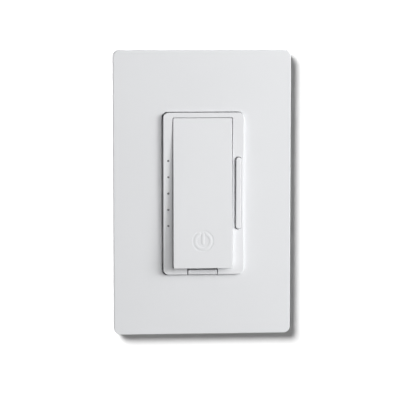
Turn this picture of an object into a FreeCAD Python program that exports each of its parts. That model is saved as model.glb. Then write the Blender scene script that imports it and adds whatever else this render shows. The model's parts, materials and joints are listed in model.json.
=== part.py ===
import FreeCAD, Part
import math
import os
import re

import Sketcher

# Wall dimmer with a tilting paddle, drawn in its mounting frame.
# X runs to the right, Z up, and -Y out of the wall; the origin is the middle of
# the two box screws on the wall plane. Levels called forward are measured along -Y,
# levels called deep along +Y, both from the wall plane.

SIZES = [
    ("plate_width", 72.8, "wall plate, outside width"),
    ("plate_over", 10.1, "wall plate, edge past the frame screws"),
    ("plate_depth", 6.4, "wall plate, rear rim to front face"),
    ("plate_wall", 1.8, "wall plate, thickness of skin and sides"),
    ("plate_corner", 2.6, "wall plate, corner radius seen from the front"),
    ("plate_round", 0.4, "wall plate, rounding of the front edge"),
    ("inner_corner", 1.0, "wall plate inside and mounting frame outside, corner radius"),
    ("window_gap", 0.32, "wall plate window to bezel, each side"),
    ("frame_thick", 1.6, "mounting frame, thickness"),
    ("frame_lip", 1.3, "mounting frame, wall of its rear rim"),
    ("lip_corner", 0.5, "mounting frame, corner radius inside its rear rim"),
    ("frame_lift", 0.3, "mounting frame, rim clear of the wall"),
    ("frame_gap", 0.5, "mounting frame window to bezel, each side"),
    ("snap_gap", 0.1, "mounting frame to inside of the wall plate"),
    ("head_hole", 4.5, "mounting frame, radius of the holes round the box screw heads"),
    ("yoke_thick", 1.5, "yoke, sheet thickness"),
    ("ear_end", 4.35, "yoke, ear past the frame screws"),
    ("ear_width", 32.0, "yoke, width of the ears"),
    ("fin_over", 1.0, "yoke, heat-sink middle past the housing, above and below"),
    ("yoke_corner", 1.5, "yoke, corner radius"),
    ("ear_clear", 6.65, "box screws from the housing's ends, which puts them at the standard 83.3"),
    ("box_slot_width", 7.0, "yoke, width of the box screw slots"),
    ("box_slot_height", 4.0, "yoke, height of the box screw slots"),
    ("box_screw", 1.75, "box screws, thread radius"),
    ("box_neck", 1.45, "box screws, neck radius"),
    ("box_reach", 20.0, "box screws, tip behind the wall plane"),
    ("box_head", 3.4, "box screws, head radius"),
    ("box_head_thick", 2.2, "box screws, head thickness"),
    ("keeper_radius", 3.6, "screw keepers, radius"),
    ("keeper_thick", 0.4, "screw keepers, thickness"),
    ("keeper_gap", 0.05, "screw keepers, clearance to neck and thread"),
    ("cover_beyond", 6.75, "frame screws past the box screws"),
    ("cover_screw", 1.75, "frame screws, thread radius"),
    ("cover_head", 3.1, "frame screws, radius of the countersunk head"),
    ("cover_cone", 1.35, "frame screws, depth of the countersunk head"),
    ("cover_reach", 2.5, "frame screws, tip behind the wall plane"),
    ("slot_deep", 0.7, "screwdriver slots, depth"),
    ("slot_wide", 0.9, "screwdriver slots, width"),
    ("bezel_stand", 1.6, "bezel, face forward of the wall plate"),
    ("side_bar", 4.2, "bezel, width of the bars beside the paddle"),
    ("top_bar", 2.1, "bezel, bar above the paddle"),
    ("low_bar", 2.4, "bezel, bar below the paddle"),
    ("bezel_floor", 1.2, "bezel, floor thickness"),
    ("bezel_corner", 2.2, "bezel, corner radius"),
    ("bezel_edge", 0.5, "bezel, rounding of the front edge"),
    ("paddle_width", 24.2, "paddle, width"),
    ("paddle_height", 61.5, "paddle, height"),
    ("paddle_gap", 0.3, "paddle to bezel, each side"),
    ("paddle_stand", 0.2, "paddle face forward of the bezel at its top edge"),
    ("foot_stand", 3.2, "paddle face forward of the bezel at its bottom edge"),
    ("rim_top", 1.1, "paddle rim off the bezel floor at its top edge"),
    ("rim_foot", 2.3, "paddle rim off the bezel floor at its bottom edge"),
    ("paddle_wall", 1.2, "paddle, side walls"),
    ("paddle_skin", 1.4, "paddle, thickness of the face"),
    ("paddle_edge", 0.6, "paddle, rounding of the face edges"),
    ("hinge_drop", 1.6, "paddle hinge below the top edge"),
    ("hinge_stand", 2.3, "paddle hinge off the bezel floor"),
    ("hinge_pin", 0.95, "paddle hinge pins, radius"),
    ("hinge_reach", 1.0, "paddle hinge pins, length beyond the paddle"),
    ("pin_gap", 0.05, "running clearance round every pivot"),
    ("post_drop", 22.0, "paddle post below the hinge"),
    ("post_radius", 1.3, "paddle post, radius"),
    ("post_sink", 0.3, "paddle post, end below the face of the bezel floor"),
    ("touch_gap", 0.1, "button ends to what pushes them"),
    ("post_room", 0.5, "clearance round the paddle post and the buttons"),
    ("spring_width", 3.0, "paddle spring, strip width"),
    ("spring_thick", 0.25, "paddle spring, strip thickness"),
    ("spring_foot", 4.0, "paddle spring, length of the flat foot"),
    ("spring_start", -1.0, "paddle spring, upper end of the foot"),
    ("spring_end", -20.0, "paddle spring, where its tip bears on the paddle"),
    ("rocker_width", 2.0, "dimming rocker, width"),
    ("rocker_length", 29.4, "dimming rocker, length"),
    ("rocker_gap", 0.3, "dimming rocker to its slot"),
    ("rocker_stand", 0.9, "dimming rocker, face forward of the bezel"),
    ("rocker_lift", 1.5, "dimming rocker, rear off the bezel floor"),
    ("rocker_edge", 0.5, "dimming rocker, rounding of the face edges"),
    ("axle_cover", 1.1, "rocker axle forward of the rocker's rear"),
    ("axle_wall", 0.9, "bezel wall between the paddle and the rocker"),
    ("axle_radius", 0.5, "rocker axle, radius"),
    ("axle_seat", 0.7, "rocker axle, depth in the bezel wall beside the paddle"),
    ("axle_inset", 0.1, "rocker axle end below the bezel side"),
    ("dim_reach", 11.0, "dimming buttons above and below the rocker axle"),
    ("dim_button", 0.9, "dimming buttons, radius"),
    ("led_inset", 2.4, "lights from the bezel's left edge"),
    ("led_pitch", 6.7, "lights, pitch"),
    ("prong_radius", 0.42, "light pipe prongs, radius"),
    ("prong_gap", 0.03, "light pipe prongs to their holes"),
    ("prong_sink", 0.15, "light pipe prong ends below the bezel face"),
    ("rail_width", 1.8, "light pipe rail, width"),
    ("rail_thick", 1.2, "light pipe rail, thickness"),
    ("rail_lift", 1.5, "light pipe rail, face off the bezel floor"),
    ("rail_gap", 0.3, "light pipe rail to its channel"),
    ("rail_over", 1.2, "light pipe rail past the end prongs"),
    ("tab_width", 11.9, "air-gap tab, width"),
    ("tab_under", 0.6, "air-gap tab below the paddle recess"),
    ("tab_inset", 0.1, "air-gap tab above the bezel's bottom edge"),
    ("tab_gap", 0.35, "air-gap tab to its notch"),
    ("tab_lift", 1.3, "air-gap tab, rear off the bezel floor"),
    ("tab_edge", 0.3, "air-gap tab, rounding of the face edges"),
    ("stem_width", 5.0, "air-gap stem, width"),
    ("stem_thick", 1.4, "air-gap stem, thickness"),
    ("stem_lift", 0.35, "air-gap stem above the bezel's bottom edge"),
    ("stem_gap", 0.2, "air-gap stem to its guide"),
    ("blade_level", 8.4, "contact blade, front face deep"),
    ("blade_thick", 0.6, "contact blade, thickness"),
    ("blade_width", 9.6, "contact blade, width"),
    ("blade_height", 2.4, "contact blade, height"),
    ("contact_thick", 0.8, "fixed contacts, strip thickness"),
    ("contact_width", 2.4, "fixed contacts, strip width"),
    ("contact_across", 3.5, "fixed contacts, centre from the middle"),
    ("control_width", 36.0, "control board, width"),
    ("control_clear", 1.3, "control board, top edge to the power switch legs"),
    ("control_level", 3.0, "control board, front face deep"),
    ("control_thick", 1.2, "control board, thickness"),
    ("base_size", 4.6, "button bases, side"),
    ("base_thick", 2.2, "button bases, thickness"),
    ("button_depth", 1.2, "buttons, length inside their bases"),
    ("button_gap", 0.1, "buttons to the bore of their bases"),
    ("button_floor", 0.3, "button bases, floor behind the bore"),
    ("led_long", 1.6, "light chips, length"),
    ("led_wide", 0.9, "light chips, width"),
    ("led_thick", 0.6, "light chips, thickness"),
    ("led_gap", 0.1, "light chips to the light pipe"),
    ("stud_across", 9.0, "board studs from the middle"),
    ("stud_inset", 3.0, "upper board studs below the board's top edge"),
    ("stud_rise", 4.0, "lower board studs above the board's bottom edge"),
    ("stud_radius", 2.0, "board studs, radius"),
    ("stud_gap", 0.3, "board studs to the yoke"),
    ("board_screw", 0.9, "board screws, thread radius"),
    ("board_screw_long", 4.0, "board screws, depth in the studs"),
    ("board_head", 1.8, "board screws, head radius"),
    ("board_head_thick", 1.2, "board screws, head thickness"),
    ("bezel_screw_inset", 2.1, "bezel screws from the bezel's edge"),
    ("bezel_screw_up", 25.5, "bezel screws above and below the middle"),
    ("bezel_screw", 1.1, "bezel screws, thread radius"),
    ("bezel_screw_gap", 0.15, "bezel screws to the yoke"),
    ("bezel_screw_cover", 2.0, "bezel screws, tip behind the bezel face"),
    ("bezel_head", 2.0, "bezel screws, head radius"),
    ("bezel_head_thick", 1.4, "bezel screws, head thickness"),
    ("chip_size", 7.0, "controller chip, side"),
    ("chip_thick", 1.1, "controller chip, thickness"),
    ("chip_up", -8.0, "controller chip, centre height"),
    ("header_up", -18.5, "board header, centre height"),
    ("header_width", 13.2, "board header, width of the block"),
    ("header_height", 2.5, "board header, height of the block"),
    ("header_block", 4.0, "board header, length of the block"),
    ("header_pitch", 2.54, "board header, pin pitch"),
    ("header_pin", 0.64, "board header, pin side"),
    ("power_level", 14.0, "power board, front face deep"),
    ("power_thick", 1.6, "power board, thickness"),
    ("board_gap", 0.4, "power board to the housing walls"),
    ("board_clear", 1.6, "power board to the housing bosses"),
    ("housing_width", 44.0, "rear housing, width"),
    ("housing_over", 1.7, "rear housing, wall past the bezel, above and below"),
    ("housing_deep", 33.0, "rear housing, depth"),
    ("housing_wall", 1.6, "rear housing, wall"),
    ("housing_corner", 2.5, "rear housing, corner radius"),
    ("ledge_up", 23.0, "board ledges above and below the middle"),
    ("ledge_wide", 2.4, "board ledges, width"),
    ("ledge_reach", 1.8, "board ledges, reach from the wall"),
    ("boss_inset", 3.8, "housing bosses from the housing's outside"),
    ("boss_radius", 2.6, "housing bosses, radius"),
    ("boss_deep", 12.0, "housing bosses, length"),
    ("housing_screw", 1.1, "housing screws, thread radius"),
    ("housing_screw_gap", 0.15, "housing screws to the yoke"),
    ("housing_screw_tip", 9.0, "housing screws, tip deep"),
    ("housing_head", 2.2, "housing screws, radius of the countersunk head"),
    ("housing_cone", 1.1, "housing screws, depth of the countersunk head"),
    ("triac_width", 10.0, "power switch, width"),
    ("triac_drop", 1.4, "power switch below the housing's inside"),
    ("triac_case_high", 9.0, "power switch, case height"),
    ("triac_tab_high", 15.2, "power switch, metal plate height"),
    ("triac_plate", 1.3, "power switch, metal plate thickness"),
    ("triac_case", 3.1, "power switch, case thickness"),
    ("pad_thick", 0.4, "insulating pad, thickness"),
    ("pad_over", 1.0, "insulating pad, margin round the metal plate"),
    ("rivet_radius", 1.6, "rivet, shank radius"),
    ("rivet_drop", 3.0, "rivet below the top of the metal plate"),
    ("rivet_head", 2.7, "rivet, head radius"),
    ("rivet_head_thick", 1.0, "rivet, head thickness"),
    ("lead_wide", 0.8, "power switch legs, width"),
    ("lead_thick", 0.5, "power switch legs, thickness"),
    ("lead_drop", 2.0, "power switch legs, bend below the case"),
    ("lead_level", 1.2, "power switch legs, behind the metal plate"),
    ("choke_across", -9.8, "choke, centre"),
    ("choke_up", -14.0, "choke, centre height"),
    ("choke_radius", 8.0, "choke, flange radius"),
    ("choke_post", 4.0, "choke, radius of the middle post"),
    ("choke_flange", 1.6, "choke, flange thickness"),
    ("choke_long", 13.0, "choke, length"),
    ("winding_inset", 0.7, "choke winding below the flange edge"),
    ("film_across", 9.4, "film capacitor, centre"),
    ("film_up", -19.0, "film capacitor, centre height"),
    ("film_width", 17.0, "film capacitor, width"),
    ("film_height", 7.2, "film capacitor, height"),
    ("film_deep", 12.5, "film capacitor, depth"),
    ("can_across", 10.5, "electrolytic capacitor, centre"),
    ("can_up", -6.0, "electrolytic capacitor, centre height"),
    ("can_radius", 5.0, "electrolytic capacitor, radius"),
    ("can_deep", 12.5, "electrolytic capacitor, depth"),
    ("disc_across", -10.5, "surge disc, centre"),
    ("disc_up", 1.5, "surge disc, centre height"),
    ("disc_radius", 5.2, "surge disc, radius"),
    ("disc_thick", 4.0, "surge disc, thickness"),
    ("disc_stand", 1.5, "surge disc, clear of the board"),
    ("disc_leg", 0.4, "surge disc, leg radius"),
    ("disc_leg_across", 2.5, "surge disc, legs from its centre"),
    ("fuse_across", 10.0, "fuse, centre"),
    ("fuse_up", 6.5, "fuse, centre height"),
    ("fuse_radius", 2.2, "fuse, radius"),
    ("fuse_long", 10.0, "fuse, length"),
    ("fuse_cap", 2.0, "fuse caps, length"),
    ("fuse_cap_wall", 0.3, "fuse caps, wall"),
    ("core_across", 0.0, "transformer, centre"),
    ("core_up", 17.5, "transformer, centre height"),
    ("core_width", 16.0, "transformer core, width"),
    ("core_height", 10.0, "transformer core, height"),
    ("core_deep", 13.0, "transformer core, depth"),
    ("core_arm", 2.6, "transformer core, outer arms"),
    ("core_leg", 4.0, "transformer core, middle leg"),
    ("coil_gap", 0.2, "transformer coil to the arms"),
    ("coil_over", 2.0, "transformer coil past the core"),
    ("terminal_up", 11.0, "terminals above and below the middle"),
    ("terminal_deep", 8.5, "terminals, screw axis deep"),
    ("terminal_side", 6.6, "terminal windows, across the wires"),
    ("terminal_long", 10.0, "terminal windows, along the wires"),
    ("lug_thick", 1.2, "terminal lugs, strip thickness"),
    ("lug_over", 0.6, "terminal lugs past their windows"),
    ("clamp_thick", 1.0, "clamp plates, thickness"),
    ("clamp_gap", 0.3, "clamp plates to their windows"),
    ("clamp_stand", 0.4, "clamp plates clear of the lugs"),
    ("terminal_screw", 1.5, "terminal screws, thread radius"),
    ("terminal_head", 2.7, "terminal screws, head radius"),
    ("terminal_head_thick", 1.5, "terminal screws, head thickness"),
    ("terminal_tip", 1.2, "terminal screws, tip past the lugs"),
    ("ground_across", -11.5, "ground screw, across"),
    ("ground_drop", 5.0, "ground screw below the housing"),
    ("ground_head", 3.0, "ground screw, head radius"),
    ("ground_head_thick", 1.8, "ground screw, head thickness"),
]

LEDS = 5
HEADER_PINS = 5
BOTH = (-1, 1)
CORNERS = [(across, up) for across in BOTH for up in BOTH]

# Places worked out from the sizes above, in the same words. Forward levels first.
PLACES = {
    "box_spacing": "housing_height + 2*ear_clear",
    "plate_height": "cover_spacing + 2*plate_over",
    "plate_inside": "plate_depth - plate_wall",
    "cover_spacing": "box_spacing + 2*cover_beyond",
    "frame_front": "yoke_thick + frame_thick",
    "yoke_height": "cover_spacing + 2*ear_end",
    "fin_height": "housing_height + 2*fin_over",
    "floor_front": "yoke_thick + bezel_floor",
    "bezel_front": "plate_depth + bezel_stand",
    "bezel_width": "paddle_width + 2*paddle_gap + 2*side_bar",
    "bezel_height": "paddle_height + 2*paddle_gap + top_bar + low_bar",
    "paddle_rise": "low_bar/2 - top_bar/2",
    "paddle_top": "bezel_front + paddle_stand",
    "paddle_foot": "bezel_front + foot_stand",
    "paddle_back_top": "floor_front + rim_top",
    "paddle_back_foot": "floor_front + rim_foot",
    "paddle_top_edge": "paddle_rise + paddle_height/2",
    "paddle_low_edge": "paddle_rise - paddle_height/2",
    "paddle_slope": "(paddle_foot - paddle_top)/paddle_height",
    "recess_low": "paddle_low_edge - paddle_gap",
    "hinge_level": "floor_front + hinge_stand",
    "hinge_up": "paddle_top_edge - hinge_drop",
    "post_up": "hinge_up - post_drop",
    "post_back": "floor_front - post_sink",
    "paddle_button_front": "post_back - touch_gap",
    "slot_width": "rocker_width + 2*rocker_gap",
    "slot_length": "rocker_length + 2*rocker_gap",
    "rocker_across": "paddle_width/2 + paddle_gap + axle_wall + slot_width/2",
    "rocker_front": "bezel_front + rocker_stand",
    "rocker_back": "floor_front + rocker_lift",
    "axle_level": "rocker_back + axle_cover",
    "button_front": "rocker_back - touch_gap",
    "led_across": "bezel_width/2 - led_inset",
    "rail_front": "floor_front + rail_lift",
    "rail_long": f"{LEDS - 1}*led_pitch + 2*rail_over",
    "channel_width": "rail_width + 2*rail_gap",
    "channel_long": "rail_long + 2*rail_gap",
    "tab_back": "floor_front + tab_lift",
    "tab_low": "tab_inset - bezel_height/2",
    "tab_height": "low_bar - tab_inset - tab_under",
    "tab_up": "tab_low + tab_height/2",
    "stem_low": "stem_lift - bezel_height/2",
    "stem_up": "stem_low + stem_thick/2",
    "blade_back": "-blade_level - blade_thick",
    "control_top": "triac_foot - lead_drop - control_clear",
    "control_bottom": "-power_height/2",
    "control_back": "-control_level - control_thick",
    "base_front": "base_thick - control_level",
    "button_back": "base_front - button_depth",
    "stud_top": "control_top - stud_inset",
    "stud_bottom": "control_bottom + stud_rise",
    "bezel_screw_across": "bezel_width/2 - bezel_screw_inset",
    "bezel_screw_tip": "bezel_front - bezel_screw_cover",
    "power_back": "-power_level - power_thick",
    "power_width": "housing_inner_width - 2*board_gap",
    "power_height": "2*(boss_up - boss_radius - board_clear)",
    "housing_height": "bezel_height + 2*housing_over",
    "housing_inner_width": "housing_width - 2*housing_wall",
    "housing_inner_height": "housing_height - 2*housing_wall",
    "boss_across": "housing_width/2 - boss_inset",
    "boss_up": "housing_height/2 - boss_inset",
    "triac_foot": "housing_inner_height/2 - triac_drop - triac_tab_high",
    "triac_plate_back": "-pad_thick - triac_plate",
    "triac_lead_front": "triac_plate_back - lead_level",
    "rivet_up": "triac_foot + triac_tab_high - rivet_drop",
    "lug_outer": "housing_inner_width/2",
    "lug_inner": "lug_outer - lug_thick",
    "clamp_inner": "lug_outer + clamp_stand",
    "clamp_outer": "clamp_inner + clamp_thick",
    "ground_up": "-housing_height/2 - ground_drop",
}

doc = FreeCAD.newDocument("WallDimmer")
sheet = doc.addObject("Spreadsheet::Sheet", "Sizes")
for row, (alias, size, note) in enumerate(SIZES, start=1):
    sheet.set(f"A{row}", note)
    sheet.set(f"B{row}", str(size))
    sheet.setAlias(f"B{row}", alias)
doc.recompute()

ALIASES = {alias for alias, _, _ in SIZES}


def sized(expression):
    """Write out the named places of a formula, and turn its size names into references to the sheet."""
    def written_out(word):
        name = word[0]
        if name in PLACES:
            return f"({sized(PLACES[name])})"
        return f"Sizes.{name}" if name in ALIASES else name
    return re.sub(r"[a-z_]+", written_out, expression)


def value(expression):
    return float(sheet.evalExpression(sized(expression)))


def vector(across, up):
    return FreeCAD.Vector(value(across), value(up), 0)


def bind_constraint(sketch, constraint, expression):
    index = sketch.addConstraint(constraint)
    sketch.setExpression(f"Constraints[{index}]", sized(expression))


def hold_point(sketch, line, point, across, up):
    """Hold one point of a sketch line at a place measured from the origin."""
    for direction, expression in (("DistanceX", across), ("DistanceY", up)):
        constraint = Sketcher.Constraint(direction, -1, 1, line, point, value(expression))
        bind_constraint(sketch, constraint, expression)


def circle(across, up, radius):
    def draw(sketch):
        disc = Part.Circle(vector(across, up), FreeCAD.Vector(0, 0, 1), value(radius))
        line = sketch.addGeometry(disc)
        hold_point(sketch, line, 3, across, up)
        bind_constraint(sketch, Sketcher.Constraint("Radius", line, value(radius)), radius)
    return draw


def polygon(*corners):
    def draw(sketch):
        ends = list(corners[1:]) + [corners[0]]
        lines = [sketch.addGeometry(Part.LineSegment(vector(*start), vector(*end)))
                 for start, end in zip(corners, ends)]
        for number, line in enumerate(lines):
            hold_point(sketch, line, 1, *corners[number])
            following = lines[(number + 1) % len(lines)]
            sketch.addConstraint(Sketcher.Constraint("Coincident", line, 2, following, 1))
    return draw


def box(across, up, width, height):
    left, right = f"{across} - {width}/2", f"{across} + {width}/2"
    bottom, top = f"{up} - {height}/2", f"{up} + {height}/2"
    return polygon((left, bottom), (right, bottom), (right, top), (left, top))


def rounded(centres, radius):
    """Draw the outline round circles of one radius, whose centres go anticlockwise."""
    def draw(sketch):
        points = [vector(*centre) for centre in centres]
        size = value(radius)
        count = len(points)
        sides = [points[(number + 1) % count] - points[number] for number in range(count)]
        outward = [FreeCAD.Vector(side.y, -side.x, 0).normalize() for side in sides]
        lines, arcs = [], []
        for number in range(count):
            after = (number + 1) % count
            start = points[number] + outward[number]*size
            end = points[after] + outward[number]*size
            lines.append(sketch.addGeometry(Part.LineSegment(start, end)))
            first = math.atan2(outward[number].y, outward[number].x)
            last = math.atan2(outward[after].y, outward[after].x)
            if last < first:
                last += 2*math.pi
            disc = Part.Circle(points[after], FreeCAD.Vector(0, 0, 1), size)
            arcs.append(sketch.addGeometry(Part.ArcOfCircle(disc, first, last)))
        for number in range(count):
            after = (number + 1) % count
            sketch.addConstraint(Sketcher.Constraint("Tangent", lines[number], 2, arcs[number], 1))
            sketch.addConstraint(Sketcher.Constraint("Tangent", arcs[number], 2, lines[after], 1))
            hold_point(sketch, arcs[number], 3, *centres[after])
            bind_constraint(sketch, Sketcher.Constraint("Radius", arcs[number], size), radius)
    return draw


def rounded_box(across, up, width, height, radius):
    left, right = f"{across} - {width}/2 + {radius}", f"{across} + {width}/2 - {radius}"
    bottom, top = f"{up} - {height}/2 + {radius}", f"{up} + {height}/2 - {radius}"
    return rounded([(left, bottom), (right, bottom), (right, top), (left, top)], radius)


def upright_slot(across, up, width, length):
    reach = f"({length}/2 - {width}/2)"
    return rounded([(across, f"{up} - {reach}"), (across, f"{up} + {reach}")], f"{width}/2")


def level_slot(across, up, length, height):
    reach = f"({length}/2 - {height}/2)"
    return rounded([(f"{across} - {reach}", up), (f"{across} + {reach}", up)], f"{height}/2")


def new_body(name):
    body = doc.addObject("PartDesign::Body", name)
    body.Label = name
    body.AllowCompound = True
    return body


def new_sketch(body, name, plane, level, outlines):
    """Draw outlines in one of the body's origin planes, moved along its normal."""
    sketch = body.newObject("Sketcher::SketchObject", f"{body.Name}_{name}_sketch")
    support = [item for item in body.Origin.OriginFeatures if item.Role == plane][0]
    sketch.AttachmentSupport = (support, [""])
    sketch.MapMode = "FlatFace"
    sketch.setExpression("AttachmentOffset.Base.z", sized(level))
    for draw in outlines:
        draw(sketch)
    return sketch


def pad(body, name, start, end, *outlines, plane="XZ_Plane"):
    """Add material from one level to another; forward, or along the plane's normal."""
    sketch = new_sketch(body, name, plane, start, outlines)
    feature = body.newObject("PartDesign::Pad", f"{body.Name}_{name}")
    feature.Profile = sketch
    feature.setExpression("Length", sized(f"({end}) - ({start})"))
    return feature


def pocket(body, name, start, end, *outlines, plane="XZ_Plane"):
    """Remove material from one level to another, cutting back from the further level."""
    sketch = new_sketch(body, name, plane, end, outlines)
    feature = body.newObject("PartDesign::Pocket", f"{body.Name}_{name}")
    feature.Profile = sketch
    feature.setExpression("Length", sized(f"({end}) - ({start})"))
    return feature


def turned(body, name, across, up, steps, kind="PartDesign::Revolution"):
    """Turn a profile of (forward, radius) steps about a line along Y."""
    corners = [(f"-({forward})", f"{up} + {radius}") for forward, radius in steps]
    first, last = steps[0][0], steps[-1][0]
    outline = polygon((f"-({first})", up), *corners, (f"-({last})", up))
    sketch = new_sketch(body, name, "YZ_Plane", across, [outline])
    axis = sketch.addGeometry(Part.LineSegment(vector(f"-({first})", up), vector(f"-({last})", up)), True)
    hold_point(sketch, axis, 1, f"-({first})", up)
    hold_point(sketch, axis, 2, f"-({last})", up)
    feature = body.newObject(kind, f"{body.Name}_{name}")
    feature.Profile = sketch
    feature.ReferenceAxis = (sketch, ["Axis0"])
    feature.Angle = 360
    return feature


def round_edges(body, name, radius, choose):
    doc.recompute()
    base = body.Tip
    edges = [f"Edge{number}" for number, edge in enumerate(base.Shape.Edges, start=1) if choose(edge)]
    feature = body.newObject("PartDesign::Fillet", f"{body.Name}_{name}")
    feature.Base = (base, edges)
    feature.setExpression("Radius", sized(radius))
    return feature


def lies_forward(edge, level):
    """Tell whether an edge lies all in the plane at one forward level."""
    bounds = edge.BoundBox
    return abs(bounds.YMin + level) < 1e-4 and abs(bounds.YMax + level) < 1e-4


def paddle_face(up):
    """Give the forward level of the paddle's face at one height."""
    return f"(paddle_top + paddle_slope*(paddle_top_edge - ({up})))"


def signed(sign, size):
    return f"({sign}*({size}))"


def span(sign, inner, outer):
    """Give two places on one side of the middle, the lower one first."""
    ends = signed(sign, inner), signed(sign, outer)
    return ends if sign > 0 else ends[::-1]


def make_wall_plate():
    body = new_body("wall_plate")
    pad(body, "shell", "0", "plate_depth",
        rounded_box("0", "0", "plate_width", "plate_height", "plate_corner"))
    front = value("plate_depth")
    round_edges(body, "front_round", "plate_round", lambda edge: lies_forward(edge, front))
    pocket(body, "hollow", "0", "plate_inside",
           rounded_box("0", "0", "(plate_width - 2*plate_wall)", "(plate_height - 2*plate_wall)",
                       "inner_corner"))
    pocket(body, "window", "0", "plate_depth",
           rounded_box("0", "0", "(bezel_width + 2*window_gap)", "(bezel_height + 2*window_gap)",
                       "(bezel_corner + window_gap)"))
    return body


def make_plate_frame():
    body = new_body("plate_frame")
    width = "(plate_width - 2*plate_wall - 2*snap_gap)"
    height = "(plate_height - 2*plate_wall - 2*snap_gap)"
    pad(body, "sheet", "frame_lift", "frame_front", rounded_box("0", "0", width, height, "inner_corner"))
    pocket(body, "hollow", "frame_lift", "yoke_thick",
           rounded_box("0", "0", f"({width} - 2*frame_lip)", f"({height} - 2*frame_lip)",
                       "lip_corner"))
    openings = [rounded_box("0", "0", "(bezel_width + 2*frame_gap)", "(bezel_height + 2*frame_gap)",
                            "(bezel_corner + frame_gap)")]
    openings += [circle("0", signed(side, "box_spacing/2"), "head_hole") for side in BOTH]
    pocket(body, "window", "yoke_thick", "frame_front", *openings)
    for number, side in enumerate(BOTH):
        turned(body, f"screw_seat_{number}", "0", signed(side, "cover_spacing/2"),
               [("yoke_thick", "cover_screw"), ("frame_front - cover_cone", "cover_screw"),
                ("frame_front", "cover_head")], kind="PartDesign::Groove")
    return body


def make_plate_screws():
    body = new_body("plate_screws")
    for number, side in enumerate(BOTH):
        turned(body, f"screw_{number}", "0", signed(side, "cover_spacing/2"),
               [("-cover_reach", "cover_screw"), ("frame_front - cover_cone", "cover_screw"),
                ("frame_front", "cover_head")])
    pocket(body, "slots", "frame_front - slot_deep", "frame_front",
           *[box("0", signed(side, "cover_spacing/2"), "(3*cover_head)", "slot_wide") for side in BOTH])
    return body


def make_yoke():
    body = new_body("yoke")
    pad(body, "ears", "0", "yoke_thick", rounded_box("0", "0", "ear_width", "yoke_height", "yoke_corner"))
    pad(body, "middle", "0", "yoke_thick",
        rounded_box("0", "0", "housing_width", "fin_height", "yoke_corner"))
    holes = [level_slot("0", signed(side, "box_spacing/2"), "box_slot_width", "box_slot_height")
             for side in BOTH]
    holes += [circle("0", signed(side, "cover_spacing/2"), "cover_screw") for side in BOTH]
    holes += [circle(signed(side, "bezel_screw_across"), signed(end, "bezel_screw_up"),
                     "(bezel_screw + bezel_screw_gap)") for side, end in CORNERS]
    holes += [circle(signed(side, "stud_across"), up, "(stud_radius + stud_gap)")
              for side in BOTH for up in ("stud_top", "stud_bottom")]
    holes += [circle("rocker_across", signed(side, "dim_reach"), "(dim_button + post_room)") for side in BOTH]
    holes += [circle("0", "post_up", "(post_radius + post_room)"), circle("0", "rivet_up", "rivet_radius"),
              circle("ground_across", "ground_up", "box_screw"),
              box("(-led_across)", "0", "channel_width", "channel_long"),
              box("0", "stem_up", "(stem_width + 2*stem_gap)", "(stem_thick + 2*stem_gap)")]
    pocket(body, "holes", "0", "yoke_thick", *holes)
    for number, (side, end) in enumerate(CORNERS):
        gap = "housing_screw_gap"
        turned(body, f"screw_seat_{number}", signed(side, "boss_across"), signed(end, "boss_up"),
               [("0", f"housing_screw + {gap}"), ("yoke_thick - housing_cone", f"housing_screw + {gap}"),
                ("yoke_thick", f"housing_head + {gap}")], kind="PartDesign::Groove")
    return body


def make_mounting_screws():
    body = new_body("mounting_screws")
    for number, side in enumerate(BOTH):
        up = signed(side, "box_spacing/2")
        neck_back = "-keeper_thick - keeper_gap"
        turned(body, f"screw_{number}", "0", up,
               [("-box_reach", "box_screw"), (neck_back, "box_screw"), (neck_back, "box_neck"),
                ("yoke_thick", "box_neck"), ("yoke_thick", "box_head"),
                ("yoke_thick + box_head_thick", "box_head")])
    pocket(body, "slots", "yoke_thick + box_head_thick - slot_deep", "yoke_thick + box_head_thick",
           *[box("0", signed(side, "box_spacing/2"), "(3*box_head)", "slot_wide") for side in BOTH])
    return body


def make_screw_keepers():
    body = new_body("screw_keepers")
    discs = [circle("0", signed(side, "box_spacing/2"), radius)
             for side in BOTH for radius in ("keeper_radius", "(box_neck + keeper_gap)")]
    pad(body, "washers", "-keeper_thick", "0", *discs)
    return body


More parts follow.
